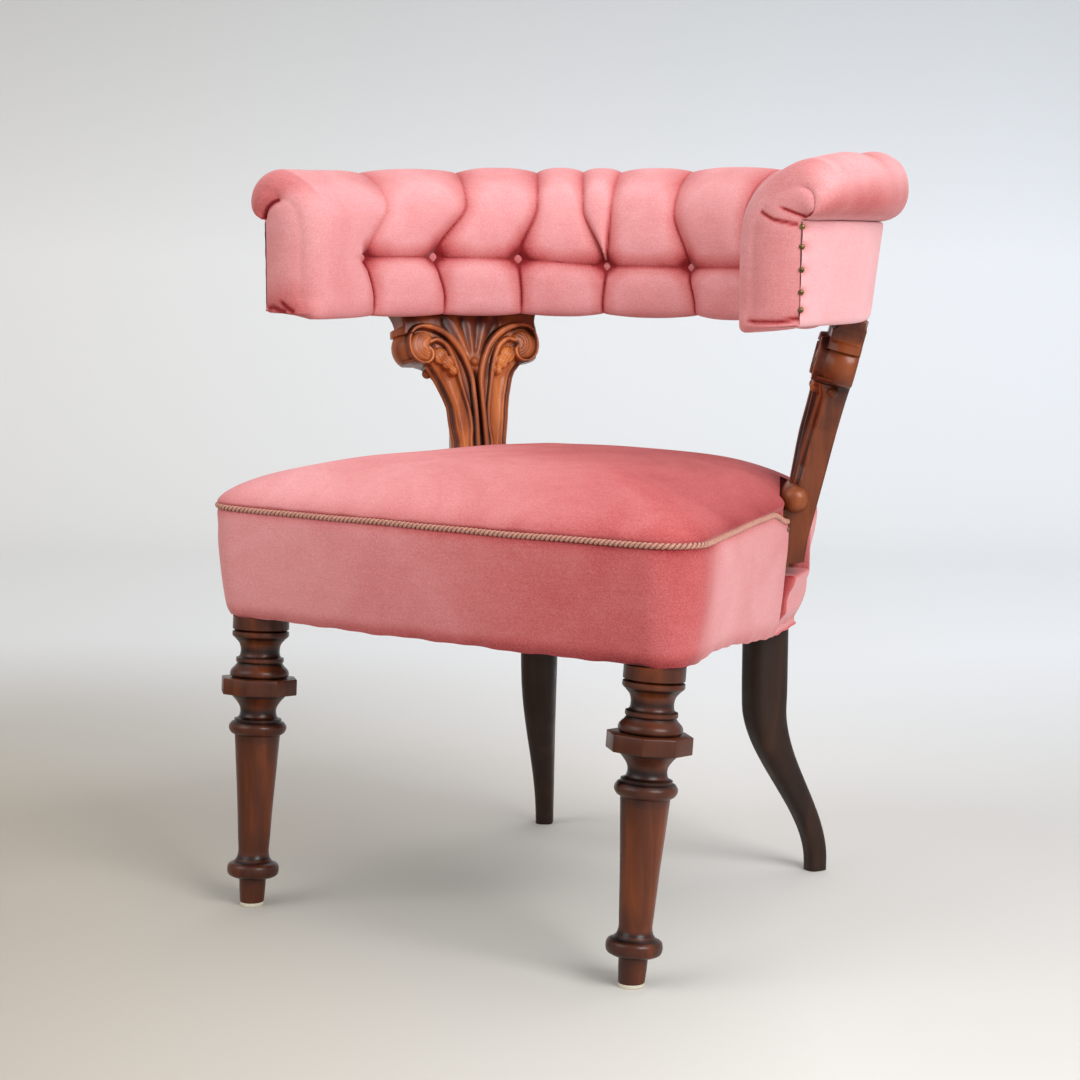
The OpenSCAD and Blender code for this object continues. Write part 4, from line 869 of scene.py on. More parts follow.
# corners [x, y, radius, steps] of a closed outline, rounded
def roundedOutline(corners, straight=6):
    made = []
    n = len(corners)
    ends = []
    for i in range(n):
        a, b, c = (np.array(corners[k % n][:2], float) for k in (i - 1, i, i + 1))
        r, steps = corners[i][2], corners[i][3]
        u, v = (a - b) / np.linalg.norm(a - b), (c - b) / np.linalg.norm(c - b)
        half = math.acos(np.clip(u @ v, -1, 1)) / 2
        mid = b + (u + v) / np.linalg.norm(u + v) * r / math.sin(half)
        p, q = b + u * r / math.tan(half) - mid, b + v * r / math.tan(half) - mid
        turn = math.atan2(p[0] * q[1] - p[1] * q[0], p @ q)
        side = np.array([-p[1], p[0]])
        ends.append([
            mid + p * math.cos(turn * k / steps) + side * math.sin(turn * k / steps) for k in range(steps + 1)
        ])
    for i in range(n):
        made.extend(ends[i])
        a, b = ends[i][-1], ends[(i + 1) % n][0]
        made.extend(a + (b - a) * k / straight for k in range(1, straight))
    return np.array(made)


def bothSides(half):
    return half + [(-x, y, r, s) for x, y, r, s in half[-2:0:-1]]


def frontCorners(f):
    return [(0.0, -f["frontY"] - f["frontBow"], f["frontBowR"], 30), (f["frontX"], -f["frontY"], f["cornerR"], 26)]


def plainSeat(f):
    near, far = byUpright(f["sideReach"], -f["flatNear"]), byUpright(f["rearReach"], f["flatFar"])
    half = frontCorners(f) + [(*near, f["sideBend"], 16), (*far, f["rearR"], 18), (0.0, f["rearY"], f["rearBowR"], 24)]
    return roundedOutline(bothSides(half), 14)


seatOutline = plainSeat(seatForm)


def drawnIn(p, d):
    return p + leftOf(unit(np.roll(p, -1, axis=0) - np.roll(p, 1, axis=0))) * np.reshape(d, (-1, 1))


def cutAt(outline, along):
    for i in range(len(outline)):
        a, b = outline[i], outline[(i + 1) % len(outline)]
        u, v = acrossUpright(a) - along, acrossUpright(b) - along
        if a[0] > 0 and u <= 0 < v:
            return a + (b - a) * u / (u - v)
    return None


# seat cushion

cushionForm = {
    # bays for the uprights: half width, how far out they reach, least depth and corner radius
    "bayHalf": 45.5, "bayReach": 228.0, "bayLeast": 4.0, "bayR": 4.0,
    "power": 2.4, "rise": 0.65, "midY": -60.0, "edge": 5.0, "inset": 0.4, "rings": 54,
    # tucked skirt: how far in, and height
    "skirt": [(9.0, 389.0), (7.0, 404.0), (4.6, 409.0), (2.6, 412.0), (1.2, 414.2)],
}


def makeCushion(f, c):
    near, far = cutAt(seatOutline, -c["bayHalf"]), cutAt(seatOutline, c["bayHalf"])

    def outline(s):
        reach = min(f["sideReach"] - c["bayLeast"], c["bayReach"] / max(s, 0.05))
        r = min(c["bayR"], (f["sideReach"] - reach) * 0.45)
        half = frontCorners(f) + [
            (*near, r, 5), (*byUpright(reach, -c["bayHalf"]), r, 5), (*byUpright(reach, c["bayHalf"]), r, 5),
            (*far, r, 5), (*byUpright(f["rearReach"], f["flatFar"]), f["rearR"], 18),
            (0.0, f["rearY"], f["rearBowR"], 24),
        ]
        return roundedOutline(bothSides(half), 12)

    base = f["cordZ"] + c["edge"]
    # height goes by how far out a point lies in the plain seat, so the bays cut in without a step
    rim = drawnIn(seatOutline, c["inset"]) - np.array([0.0, c["midY"]])
    turns = np.arctan2(rim[:, 1], rim[:, 0])
    rim = rim[np.argsort(turns)]
    turns = np.sort(turns)
    rings, depth = [], []
    for inset, z in c["skirt"]:
        p = drawnIn(outline(1.0), inset)
        rings.append(np.column_stack([p, np.full(len(p), z)]))
        # painted shade on the skirt tucked under the cord
        depth.append(np.full(len(p), 0.5))
    shares = 1 - (np.linspace(0, 1, c["rings"]) ** 1.7) * 0.985
    for s in shares:
        p = drawnIn(outline(s), c["inset"])
        x = p[:, 0] * s
        y = c["midY"] + (p[:, 1] - c["midY"]) * s
        rimAway = np.interp(np.arctan2(p[:, 1] - c["midY"], p[:, 0]), turns, np.hypot(*rim.T), period=2 * np.pi)
        away = np.hypot(x, y - c["midY"]) / rimAway
        z = base + (f["crown"] - base) * np.clip(1 - away ** c["power"], 0, 1) ** c["rise"]
        soft = 0.9 * np.sin(x / 61 + 0.6) * np.sin(y / 47 - 0.4) + 0.5 * np.sin(x / 27 + y / 33)
        pull = 0.45 * np.sin(np.arctan2(y, x) * 46) * s ** 14
        rings.append(np.column_stack([x, y, z + (soft * (1 - s ** 6)) + pull]))
        # painted shade: darker near the rim and towards the rear right, a little lighter towards the back
        paintedShade = smoothStep((x * 0.55 + y * 0.85 + 300) / 400)
        depth.append(0.18 * s ** 30 + np.minimum(0.76 * paintedShade, 0.52) - 0.16 * smoothStep((y - 60) / 90))
    points = np.array(rings)
    low = points[:1].copy()
    low[0, :, :2] = low[0, :, :2] * 0.1 + [0, c["midY"] * 0.9]
    points = np.concatenate([low, points])
    depth = np.concatenate([[depth[0]], depth])
    return shapedGrid("seatCushion", points, closed=True, capped=True, masks={"foldShade": np.array(depth)}, merge=0.001)


seatCushion = finished(makeCushion(seatForm, cushionForm), velvetSeatShaded, ("seat_cushion",), 60)
print("cushion made", len(seatCushion.data.polygons))


# bands round the seat

bandForm = {
    # how far the foot is drawn in, and the dip beside the uprights
    "frontIn": 8.0, "rearIn": 12.0, "dip": 13.0, "dipL": 66.0,
    "swell": 7.6, "drop": 22.0, "dropY": -170.0, "dropL": 260.0, "rows": 34, "backIn": 14.6, "tuckZ": 341.8,
    "corner": (287.0, -268.0), "cornerDent": 1.6, "endR": 3.2,
}


def dipAt(p, f, b):
    off = np.abs(acrossUpright(p)) - f["tailHalf"]
    return np.where(p[:, 1] > 0, b["dip"] * (1 - smoothStep(off / b["dipL"])), 0.0)


def frontWalk(f, count):
    cut = cutAt(seatOutline, -f["tailHalf"])
    half = [p for p in seatOutline if p[0] >= -0.001 and p[1] < cut[1] and acrossUpright(p) < -f["tailHalf"] - 0.5]
    half = np.array(sorted(half, key=lambda p: math.atan2(p[0], -p[1] + 60)))
    half = np.vstack([half, cut])
    line = np.vstack([half[::-1] * [-1, 1], half[half[:, 0] > 0.5]])
    return resampled(line, count)


def rearWalk(f, count):
    cut = cutAt(seatOutline, -f["tailHalf"])
    half = [p for p in seatOutline if p[0] > 0.5 and p[1] > cut[1] and acrossUpright(p) > -f["tailHalf"] + 0.3]
    half = np.array(sorted(half, key=lambda p: math.atan2(p[1] - 20, p[0])))
    half = np.vstack([cut + normalAcross * 0.6, half])
    return resampled(np.vstack([half, half[::-1] * [-1, 1]]), count)


def bandSection(f, b, footIn, mid):
    low, top = f["low"], f["cordZ"]
    h = top - low
    outer = curveThrough([
        (9.0, top - 0.6), (5.0, top - 0.4), (1.6, top - 1.8), (0.1, top - 6),
        (-0.3 + footIn * mid * 0.3, low + h * 0.78), (footIn * mid, low + h * 0.5), (footIn * 0.8, low + h * 0.22),
        (footIn + 1.2, low + 8), (footIn + 4.2, low + 1.6), (13.0, low + 0.2),
    ], b["rows"])
    inner = [(b["backIn"], low + 0.6), (b["backIn"], low + h * 0.35), (b["backIn"], low + h * 0.7)]
    return np.vstack([outer, inner, [(b["backIn"] - 0.6, top - 1.2)]])


def makeBand(name, walk, f, b, footIn, mid, rear):
    inward = leftOf(unit(np.gradient(walk, axis=0)))
    section = bandSection(f, b, footIn, mid)
    s = lengthAlong(walk)
    along = s[:, None]
    d = section[None, :, 0] + np.zeros((len(walk), 1))
    z = section[None, :, 1] + np.zeros((len(walk), 1))
    outer = np.concatenate([np.ones(b["rows"]), np.zeros(4)])[None]
    full = f["cordZ"] - f["low"]
    share = (z - f["low"]) / full
    dip = dipAt(walk, f, b)
    if rear:
        d = d - b["swell"] * outer * np.clip((13.4 - d) / 5, 0, 1)
        # it is tucked down under the tail of each upright
        under = smoothStep((f["tailHalf"] + 1.0 - np.abs(acrossUpright(walk))) / 1.2) * (walk[:, 1] > 0)
        top = (f["cordZ"] - dip) * (1 - under) + b["tuckZ"] * under
        fit = smoothStep(share * 3)
        z = f["low"] + share * (top[:, None] - f["low"]) * fit + share * full * (1 - fit)
    else:
        z = z - dip[:, None] * smoothStep((share - 0.35) / 0.65)
    rounded = np.sin(np.pi * np.clip(share, 0, 1))
    swell = -1.1 * rounded + 0.5 * np.sin(along / 53) * rounded
    z = z - (b["drop"] * smoothStep((walk[:, 1] - b["dropY"]) / b["dropL"]))[:, None] * np.clip(1 - 2 * share, 0, 1)
    foot = smoothStep((0.16 - share) / 0.16)
    wobble = 0.6 * np.sin(along / 13) + 0.45 * np.sin(along / 5.7 + 2) + 0.5 * np.sin(along / 31)
    nearCord = np.exp(-((1 - share) / 0.06) ** 2)
    stitch = 0.25 * np.sin(along / 1.9) * nearCord
    d = d + (swell + foot * wobble * 0.4 + stitch) * outer
    z = z + foot * wobble * 0.7 * outer
    # both ends are turned in round a small radius
    ends = np.minimum(s, s[-1] - s)[:, None]
    turnedIn = b["endR"] * (1 - np.sqrt(np.clip(1 - (1 - np.clip(ends / b["endR"], 0, 1)) ** 2, 0, 1)))
    d = d + np.minimum(turnedIn, np.clip(13.5 - d, 0, 99)) * outer
    # small dimple under the cord at each front corner
    if not rear:
        corner = np.abs(np.abs(walk[:, 0]) - b["corner"][0]) + np.abs(walk[:, 1] - b["corner"][1])
        level = np.exp(-((share - 0.84) / 0.10) ** 2)
        d = d + b["cornerDent"] * np.exp(-(corner[:, None] / 26) ** 2) * level * outer
    points = np.concatenate([walk[:, None] + inward[:, None] * d[..., None], z[..., None]], axis=-1)
    # painted shade: darker under the cord, at the drawn-in foot, at both turned-in ends, and along the front and round
    # its right corner
    front = smoothStep((-walk[:, 1] - 180) / 60) * (0.44 * smoothStep((walk[:, 0] + 230) / 500))
    foldShade = (0.35 * nearCord + 0.30 * foot + 0.5 * np.exp(-(ends / 2.5) ** 2) + front[:, None]) * outer
    return shapedGrid(name, points, closed=True, capped=True, masks={"foldShade": np.clip(foldShade, 0, 1)})


frontBand = makeBand("seatBand", frontWalk(seatForm, 620), seatForm, bandForm, bandForm["frontIn"], 0.4, False)
seatBand = finished(frontBand, velvetBand, ("seat_band",), 60)
rearBand = makeBand("rearBand", rearWalk(seatForm, 420), seatForm, bandForm, bandForm["rearIn"], 0.7, True)
rearBand = finished(rearBand, velvetBand, ("rear_band",), 60)
print("bands made")


# twisted cord on the edge of the band

cordForm = {
    "strands": 2, "strandR": 1.65, "helixR": 1.35, "pitch": 10.5, "sides": 10, "step": 0.6, "inset": 1.0, "fit": 0.15,
}


def makeCord(f, b, c):
    walk = frontWalk(f, 500)
    inward = leftOf(unit(np.gradient(walk, axis=0)))
    path = np.column_stack([walk + inward * c["inset"], f["cordZ"] + c["fit"] - dipAt(walk, f, b)])
    length = lengthAlong(path)[-1]
    print("cord length", round(length), "mm")
    path = resampled(path, int(length / c["step"]))[3:-3]
    s = lengthAlong(path)
    path[:, 2] += 0.35 * np.sin(s / 41) + 0.2 * np.sin(s / 17)
    tangent = unit(np.gradient(path, axis=0))
    side = unit(np.cross(tangent, [0, 0, 1]))
    rise = np.cross(side, tangent)
    around = np.linspace(0, 2 * np.pi, c["sides"], endpoint=False)[None, :, None]
    taper = np.clip(np.minimum(s, s[-1] - s) / 1.2, 0.25, 1)[:, None, None]
    made = []
    for k in range(c["strands"]):
        turn = 2 * np.pi * (s / c["pitch"] + k / c["strands"])
        centre = path + c["helixR"] * (np.cos(turn)[:, None] * side + np.sin(turn)[:, None] * rise)
        t = unit(np.gradient(centre, axis=0))
        u = unit(np.cross(t, [0, 0, 1]))
        v = np.cross(u, t)
        ring = centre[:, None] + c["strandR"] * taper * (np.cos(around) * u[:, None] + np.sin(around) * v[:, None])
        fromMid = np.linalg.norm(ring - path[:, None], axis=-1)
        # painted shade where the two strands meet
        groove = np.clip((2.6 - fromMid) / 1.1, 0, 1)
        strand = shapedGrid("strand%d" % k, ring, closed=True, capped=True, masks={"recessAndShade": groove}, merge=0.005)
        made.append(strand)
    return joined("seatCord", made)


seatCord = finished(makeCord(seatForm, bandForm, cordForm), cordTwist, ("seat_cord",), 60)
print("cord made", len(seatCord.data.polygons))


# tacks

tackForm = {
    "radius": 2.7, "thick": 1.9,
    # tacks of an arm front: x, how far behind the front, and the way they face
    "right": (321.2, 2.0, (0.8, -1, 0)), "left": (-321.6, 8.0, (-1, -0.1, 0)),
    "cordZ": 390.5, "cordShort": 7.7, "cordSunk": 0.6,
}


def tack(place, facing, form):
    piece = flatBall(form["radius"], form["thick"], 18, 10, halved=True)
    turn = Vector((0, 0, 1)).rotation_difference(Vector(facing)).to_matrix().to_4x4()
    return moved(piece, at(*place) @ turn)


facingTacks = []
for x, behind, facing in (tackForm["right"], tackForm["left"]):
    for z in panelForm["tackZ"]:
        facingTacks.append(tack((x, bow["frontY"] + behind, z), facing, tackForm))
facingTacks = finished(joined("facingTacks", facingTacks), brass, ("facing_tacks",), 40)
tackAt = cutAt(seatOutline, -seatForm["tailHalf"])
tackAt = tackAt - normalAcross * tackForm["cordShort"] - normalOut * tackForm["cordSunk"]
cordTacks = [
    tack((side * tackAt[0], tackAt[1], tackForm["cordZ"]), (side * normalOut[0], normalOut[1], 0), tackForm)
    for side in (1, -1)
]
cordTacks = finished(joined("cordTacks", cordTacks), brass, ("cord_tacks",), 40)
print("tacks made")


# carved uprights

carve = {
    "voluteX": 60.5, "voluteZ": 98.7, "voluteR": 22.5, "headT": 33.0, "lowZ": -122.0, "topZ": 166.0, "tailT": 24.0,
    # half width of the carved face, of the undercut back and of the neck on top, by height
    "halfZ": [-122, -75, -52, -30, -12, 0, 15, 24, 40, 60, 68, 76.2, 90],
    "half": [27, 31, 31, 35, 35, 37.5, 40.5, 41.8, 45, 51, 54, 60.5, 60.5],
    "backZ": [-122, -52, -30, 0, 28, 44, 53, 63, 74, 80], "back": [27, 30, 29, 29, 30, 33, 35, 40, 50, 58],
    "neckZ": [112, 124, 130, 135.5, 139, 146, 152, 170], "neck": [83, 82, 83.5, 86, 88.5, 91, 92, 92],
    # the near edge of the shaft is drawn in to a hollow line, and the back of each volute swells
    "pinchZ": [-26, 0, 29, 55, 72], "pinch": [0, 3.2, 7.0, 3.4, 0], "backSwell": 4.0, "barrel": 5.0,
    # ribs: across, up, how far they stand from the back, half width; then how many points lie on the shaft
    "mainRib": [
        (5.6, -46, 31.5, 3.6), (5.5, -26, 33.5, 3.6), (5.3, -8, 35, 3.6), (4.8, 11, 36.4, 3.6), (4.6, 23, 37, 3.6),
        (4.8, 38, 37, 3.6), (5.4, 56, 37, 3.7), (8.0, 70, 37.4, 3.9), (13, 84, 38, 4.2), (20, 97, 38.8, 4.6),
        (29, 107.5, 39.6, 4.6), (41, 115, 40.4, 4.2), (54, 119, 41, 3.4), (64, 119.5, 41, 2.8), (72, 116.5, 41, 2.4),
        (78, 108.5, 41, 2.2), (79.5, 98, 41, 2.2), (77.5, 88.5, 41, 2.2), (72, 81.5, 41, 2.2), (64.5, 78, 41, 2.3),
        (57, 79.5, 40.6, 2.4), (52.5, 85, 40.2, 2.6), (52, 91, 39.6, 2.6), (55, 96, 38.6, 2.0),
    ],
    "innerRib": [
        (12.8, -46, 29.5, 2.4), (12.6, -12, 31.8, 2.4), (10.8, 4, 33, 2.4), (11.8, 23, 33.6, 2.6), (16, 43, 34, 2.8),
        (19.6, 59, 34.6, 3.0), (23, 75, 35.6, 3.2), (28, 88.5, 36.8, 3.4), (35, 99.4, 37.8, 3.4),
        (45, 104.5, 38.4, 3.0), (53, 102.0, 37.8, 2.4),
    ],
    "mainRise": 12, "innerRise": 9,
    # crown of the shaft: share of the half width, and how far it stands from the back
    "crown": ([0, 0.3, 0.75, 0.93, 1], [33.0, 32.0, 27.5, 24.6, 23.4]),
    # lobe in each volute, hollow where its curl opens, lines cut round it
    "lobe": (62.5, 97.0, 16.0), "curl": (51.0, 97.5), "linesAt": (55, 99), "lines": (8.6, 11.6, 14.6),
    "leaf": [((41.5, 86.0), 9.6), ((33.4, 78.5), 8.2), ((27.2, 69.0), 5.8)], "veins": (-3.2, 0.0, 3.2),
    "fanZ": 72.0, "fanStep": 21.0, "beadZ": 79.0, "beadR": 5.0, "blockZ": 131.0, "footZ": -48.0,
    "flute": 3.0, "cove": 2.6, "crest": 1.2, "channel": 1.4, "hollow": 3.4, "line": 0.6, "vein": 0.6,
    "groove": 4.0, "edge": 1.8, "frontColumns": 211, "backColumns": 9,
    # points of the tail as reach from the middle of the bow and height: its back, its front, its slanted foot
    "tailBack": [(251.5, 340), (257.2, 380)], "tailFront": [(228, 343), (228, 406), (240, 421)],
    "tailFoot": (251.5, 355), "footSlope": 0.35, "trimZ": 605.8,
    # farthest reach of the capital, below and above the foot of the panel
    "panelReach": (314.6, 310.8), "panelZ": 602.4,
}


def uprightHalf(c, z):
    w = np.interp(z, c["halfZ"], c["half"])
    across = np.clip((z - c["voluteZ"]) / c["voluteR"], -1, 1)
    inLobe = np.abs(z - c["voluteZ"]) < c["voluteR"]
    w = np.where(inLobe, np.maximum(w, c["voluteX"] + c["voluteR"] * np.sqrt(1 - across ** 2)), w)
    over = z > c["neckZ"][0]
    return np.where(over, np.maximum(np.where(inLobe, w, 0), np.interp(z, c["neckZ"], c["neck"])), w)


# a rounded rib along a line of [across, up, top, half width]: its height, its shade at the foot and its crest
def ribAlong(points, q):
    line = curveThrough(points, 130)
    away, share = toLine(q, line[:, :2])
    shares = lengthAlong(line[:, :2])
    shares /= shares[-1]
    top, wide = np.interp(share, shares, line[:, 2]), np.interp(share, shares, line[:, 3])
    height = np.where(away < wide, top - wide * 0.8 * (1 - np.sqrt(np.clip(1 - (away / wide) ** 2, 0, 1))), 0)
    return height, np.exp(-((away - wide) / 1.1) ** 2), np.exp(-(away / (wide * 0.6)) ** 2)


# front face of the board: how far it stands from the back at |x|, z, with a mask for glaze and painted shade and one
# for wear and painted highlight
def carvedDepth(c, x, z, half):
    q = np.stack([x, z], axis=-1)
    mainTop, mainFoot, mainCrest = ribAlong(c["mainRib"], q)
    innerTop, innerFoot, innerCrest = ribAlong(c["innerRib"], q)
    main, inner = (np.interp(z, [p[1] for p in rib], [p[0] for p in rib])
                   for rib in (c["mainRib"][:c["mainRise"]], c["innerRib"][:c["innerRise"]]))
    edge = half - x
    # crowned shaft, passing into the flat ground of the capital
    crowned = np.interp(x / half, *c["crown"])
    depth = crowned + (c["headT"] - crowned) * smoothStep((z - 60) / 26)
    above = smoothStep((z + 60) / 12)
    shaft = smoothStep((88 - z) / 18) * above
    ridge = half - 9.5
    t = np.clip((x - inner - 2) / np.maximum(ridge - inner - 3, 4), 0, 1)
    flute = np.where(x > inner, np.sin(np.pi * t) ** 0.8, 0) * shaft
    cove = np.sin(np.pi * np.clip((x - ridge - 0.8) / 7.0, 0, 1)) * shaft
    crest = np.exp(-((x - ridge) / 1.3) ** 2) * shaft
    t = np.clip((x - main) / np.maximum(inner - main, 1), 0, 1)
    channel = np.where((x > main) & (x < inner), np.sin(np.pi * t), 0) * smoothStep((98 - z) / 16)
    depth = depth - c["flute"] * flute - c["cove"] * cove + c["crest"] * crest - c["channel"] * channel
    # swelling lobe inside the volute, with a hollow where the curl opens and fine lines cut in it
    lobeX, lobeZ, lobeR = c["lobe"]
    rho = np.hypot(x - lobeX, z - lobeZ)
    dome = np.sqrt(np.clip(1 - (rho / lobeR) ** 2, 0, 1))
    depth = np.where(rho < lobeR, np.maximum(depth, 34.6 + 4.4 * dome), depth)
    hollow = np.exp(-(((x - c["curl"][0]) / 4.2) ** 2 + ((z - c["curl"][1]) / 3.4) ** 2))
    around = np.hypot(x - c["linesAt"][0], z - c["linesAt"][1])
    lines = sum(np.exp(-((around - k) / 0.8) ** 2) for k in c["lines"]) * (rho < 13.5) * (x > 56)
    depth = depth - c["hollow"] * hollow - c["line"] * lines
    depth = np.maximum(np.maximum(depth, mainTop), innerTop)
    # leaf lobes under the volute, each with a vein
    leaf = np.zeros(x.shape)
    for (leafX, leafZ), r in c["leaf"]:
        away = np.hypot(x - leafX, z - leafZ) / r
        leaf = np.maximum(leaf, np.where(away < 1, 33.4 + 5.6 * np.clip(1 - away ** 2, 0, 1) ** 0.55, 0))
    axis = (x - 25) * 0.737 - (z - 66) * 0.676 + 0.6 * np.sin(z / 2.6)
    vein = sum(np.exp(-((axis - k) / 0.7) ** 2) for k in c["veins"]) * (leaf > 34)
    depth = np.maximum(depth, leaf) - c["vein"] * vein
    # fan of flutes over the bead, framed by the main ribs
    wave = 0.5 + 0.5 * np.cos(np.arctan2(x, z - c["fanZ"]) * 360 / c["fanStep"])
    opened = smoothStep((np.hypot(x, z - c["fanZ"]) - 14) / 10) * smoothStep((136 - z) / 6)
    opened = opened * smoothStep((main - 3.5 - x) / 4) * (z > 84)
    depth = depth + (2.0 * wave - 2.4) * opened
    bead = np.hypot(x, z - c["beadZ"]) / c["beadR"]
    depth = np.where(bead < 1, np.maximum(depth, 33.0 + 4.8 * np.sqrt(np.clip(1 - bead ** 2, 0, 1))), depth)
    groove = np.exp(-(x / 1.8) ** 2) * smoothStep((73 - z) / 8) * above
    depth -= c["groove"] * groove
    # set-back block on top, and the plain lower end behind the scroll
    block = smoothStep((z - c["blockZ"]) / 5)
    depth = depth * (1 - block) + (c["headT"] - 3.0 + 2.6 * smoothStep((z - c["blockZ"] - 7) / 8)) * block
    foot = smoothStep((c["footZ"] - z) / 12)
    depth = depth * (1 - foot) + (c["tailT"] - 0.6) * foot
    depth -= c["edge"] * np.clip(1 - edge / 2.4, 0, 1) ** 2
    # the dark mask is glaze in the hollows and painted shade over the fan, the top of the capital and the block, under
    # the back pad; the light mask is wear on the crests, lighter down the flutes, and painted highlight on the leaf
    # lobes and the volute's lobe
    upper = smoothStep((z - 96) / 24)
    glazeAndShade = 0.5 * mainFoot + 0.4 * innerFoot + 0.8 * groove + 0.3 * channel + 0.55 * cove + 0.8 * hollow + 0.3 * lines
    glazeAndShade = glazeAndShade + 0.4 * opened * (1 - wave) + 0.4 * ((leaf > 0) & (leaf < 34.8)) + 0.3 * vein
    glazeAndShade = glazeAndShade + 0.25 * upper * (mainCrest < 0.2) + 0.4 * block
    wearAndHighlight = 0.45 * flute + 0.3 * mainCrest * (1 - upper) + 0.35 * innerCrest + 0.5 * crest
    wearAndHighlight = wearAndHighlight + 0.5 * (leaf > 36) + 0.35 * dome * (rho < lobeR)
    return depth, np.clip(glazeAndShade, 0, 1), np.clip(wearAndHighlight, 0, 1)


# world place of a board's own axes: x across, y outwards, z up the lean
boardPlace = at(0, bow["midY"], board["z0"]) @ rotated(board["turn"] - 90, "Z")
boardPlace = boardPlace @ at(-board["shift"], board["r0"], 0) @ rotated(-board["lean"], "X")


# outwards and up the lean of the board, from reach and height in the chair
def onBoard(r, z):
    dr, dz = r - board["r0"], z - board["z0"]
    t = math.radians(board["lean"])
    return dr * math.cos(t) - dz * math.sin(t), dr * math.sin(t) + dz * math.cos(t)


def makeBoard(c):
    steps = [(c["lowZ"], -46, 34), (-46, 62, 92), (62, 138, 130), (138, c["topZ"], 14)]
    z = np.concatenate([np.linspace(*step)[:-1] for step in steps[:-1]] + [np.linspace(*steps[-1])])
    half = uprightHalf(c, z)
    rear = np.where(z > c["backZ"][-1], half - 1.0, np.minimum(np.interp(z, c["backZ"], c["back"]), half - 1.0))
    n, m, backM = len(z), c["frontColumns"], c["backColumns"]
    share = np.linspace(-1, 1, m)
    share = np.sign(share) * np.abs(share) ** 0.94
    x = half[:, None] * share[None]
    up = np.repeat(z[:, None], m, axis=1)
    depth, glazeAndShade, wearAndHighlight = carvedDepth(c, np.abs(x), up, half[:, None])
    for _ in range(2):      # the chisel's edges are eased
        inner = depth[1:-1, 1:-1] * 2 + depth[:-2, 1:-1] + depth[2:, 1:-1] + depth[1:-1, :-2] + depth[1:-1, 2:]
        depth[1:-1, 1:-1] = inner / 6
    # the tail turns upright below the seat, so its faces bend there
    tailFoot, tailBend = (onBoard(*p) for p in c["tailBack"])
    back = np.interp(z, [tailFoot[1], tailBend[1], 0, 200], [tailFoot[0], 0, 0, 0])
    pinch = np.interp(z, c["pinchZ"], c["pinch"])
    x = x - np.where(share > 0.3, smoothStep((share - 0.3) / 0.7), 0)[None] * pinch[:, None]
    front = np.stack([x, -depth, up], axis=-1)
    toeY, kneeY = (onBoard(*p)[0] for p in c["tailFront"][:2])
    kneeZ, hipZ = (onBoard(*p)[1] for p in c["tailFront"][1:])
    tailFront = np.interp(z, [c["lowZ"], kneeZ, hipZ, -34], [toeY, kneeY, -c["tailT"], -c["tailT"] + 0.6])
    low = smoothStep((-50 - z) / 12)[:, None]
    front[..., 1] = front[..., 1] * (1 - low) + tailFront[:, None] * low
    lobe = smoothStep((z - 76) / 3) * smoothStep((122 - z) / 3)
    t = np.linspace(0, 1, 17)[None, 1:-1]
    barrel = 1 - (2 * t - 1) ** 2
    rear = rear + c["backSwell"] * lobe
    edgeY = front[:, -1, 1][:, None]
    sideX = half[:, None] + (rear - half)[:, None] * t ** 0.9 + c["barrel"] * lobe[:, None] * barrel
    sideY = edgeY + (back[:, None] - 1.2 * t - edgeY) * t
    sideR = np.stack([sideX, sideY, np.repeat(z[:, None], t.shape[1], axis=1)], axis=-1)
    backX = np.linspace(1, -1, backM)[None] * (rear - 2.2)[:, None]
    backX[:, 0] -= pinch
    backRow = np.stack([backX, *(np.repeat(v[:, None], backM, axis=1) for v in (back, z))], axis=-1)
    nearSide = sideR - np.stack([pinch, pinch * 0, pinch * 0], axis=-1)[:, None]
    rows = np.concatenate([front, nearSide, backRow, sideR[:, ::-1] * [-1, 1, 1]], axis=1)
    plain = np.zeros(sideX.shape)
    # painted shade on the sides, in a band under the volute and towards the top
    sideGlazeAndShade = plain + 0.2 + 0.4 * np.exp(-((z - 75) / 5) ** 2)[:, None] + 0.4 * smoothStep((z - 122) / 8)[:, None]
    masks = {
        "recessAndShade": np.concatenate([glazeAndShade, sideGlazeAndShade, np.full((n, backM), 0.3), sideGlazeAndShade], axis=1),
        "wearAndHighlight": np.concatenate([wearAndHighlight, plain + 0.15, np.zeros((n, backM)), plain + 0.15], axis=1),
    }
    return shapedGrid("uprightBoard", rows, closed=True, capped=True, masks=masks, merge=0.01)


# the capital follows the curve of the panel in front of it
def heldInBow(piece, c):
    for vertex in piece.data.vertices:
        p = Vector((vertex.co.x, vertex.co.y - bow["midY"] * mm))
        reach = c["panelReach"][0 if vertex.co.z < c["panelZ"] * mm else 1] * mm
        if vertex.co.z > board["z0"] * mm and p.length > reach:
            p = p.normalized() * reach
            vertex.co.x, vertex.co.y = p.x, p.y + bow["midY"] * mm
    return piece


scrollForm = {
    # half outline from the middle to one end: radius, distance along the roll
    "outline": [
        (15.0, 0.0), (14.6, 15.5), (13.4, 18.2), (12.6, 20.4), (14.4, 22.6), (14.9, 27.5), (13.6, 33.6), (10.4, 38.4),
        (5.5, 41.6), (0.0, 42.5),
    ],
    "z": 421.0, "inset": 24.0, "recessAndShade": 0.15, "wearAndHighlight": 0.35,
}


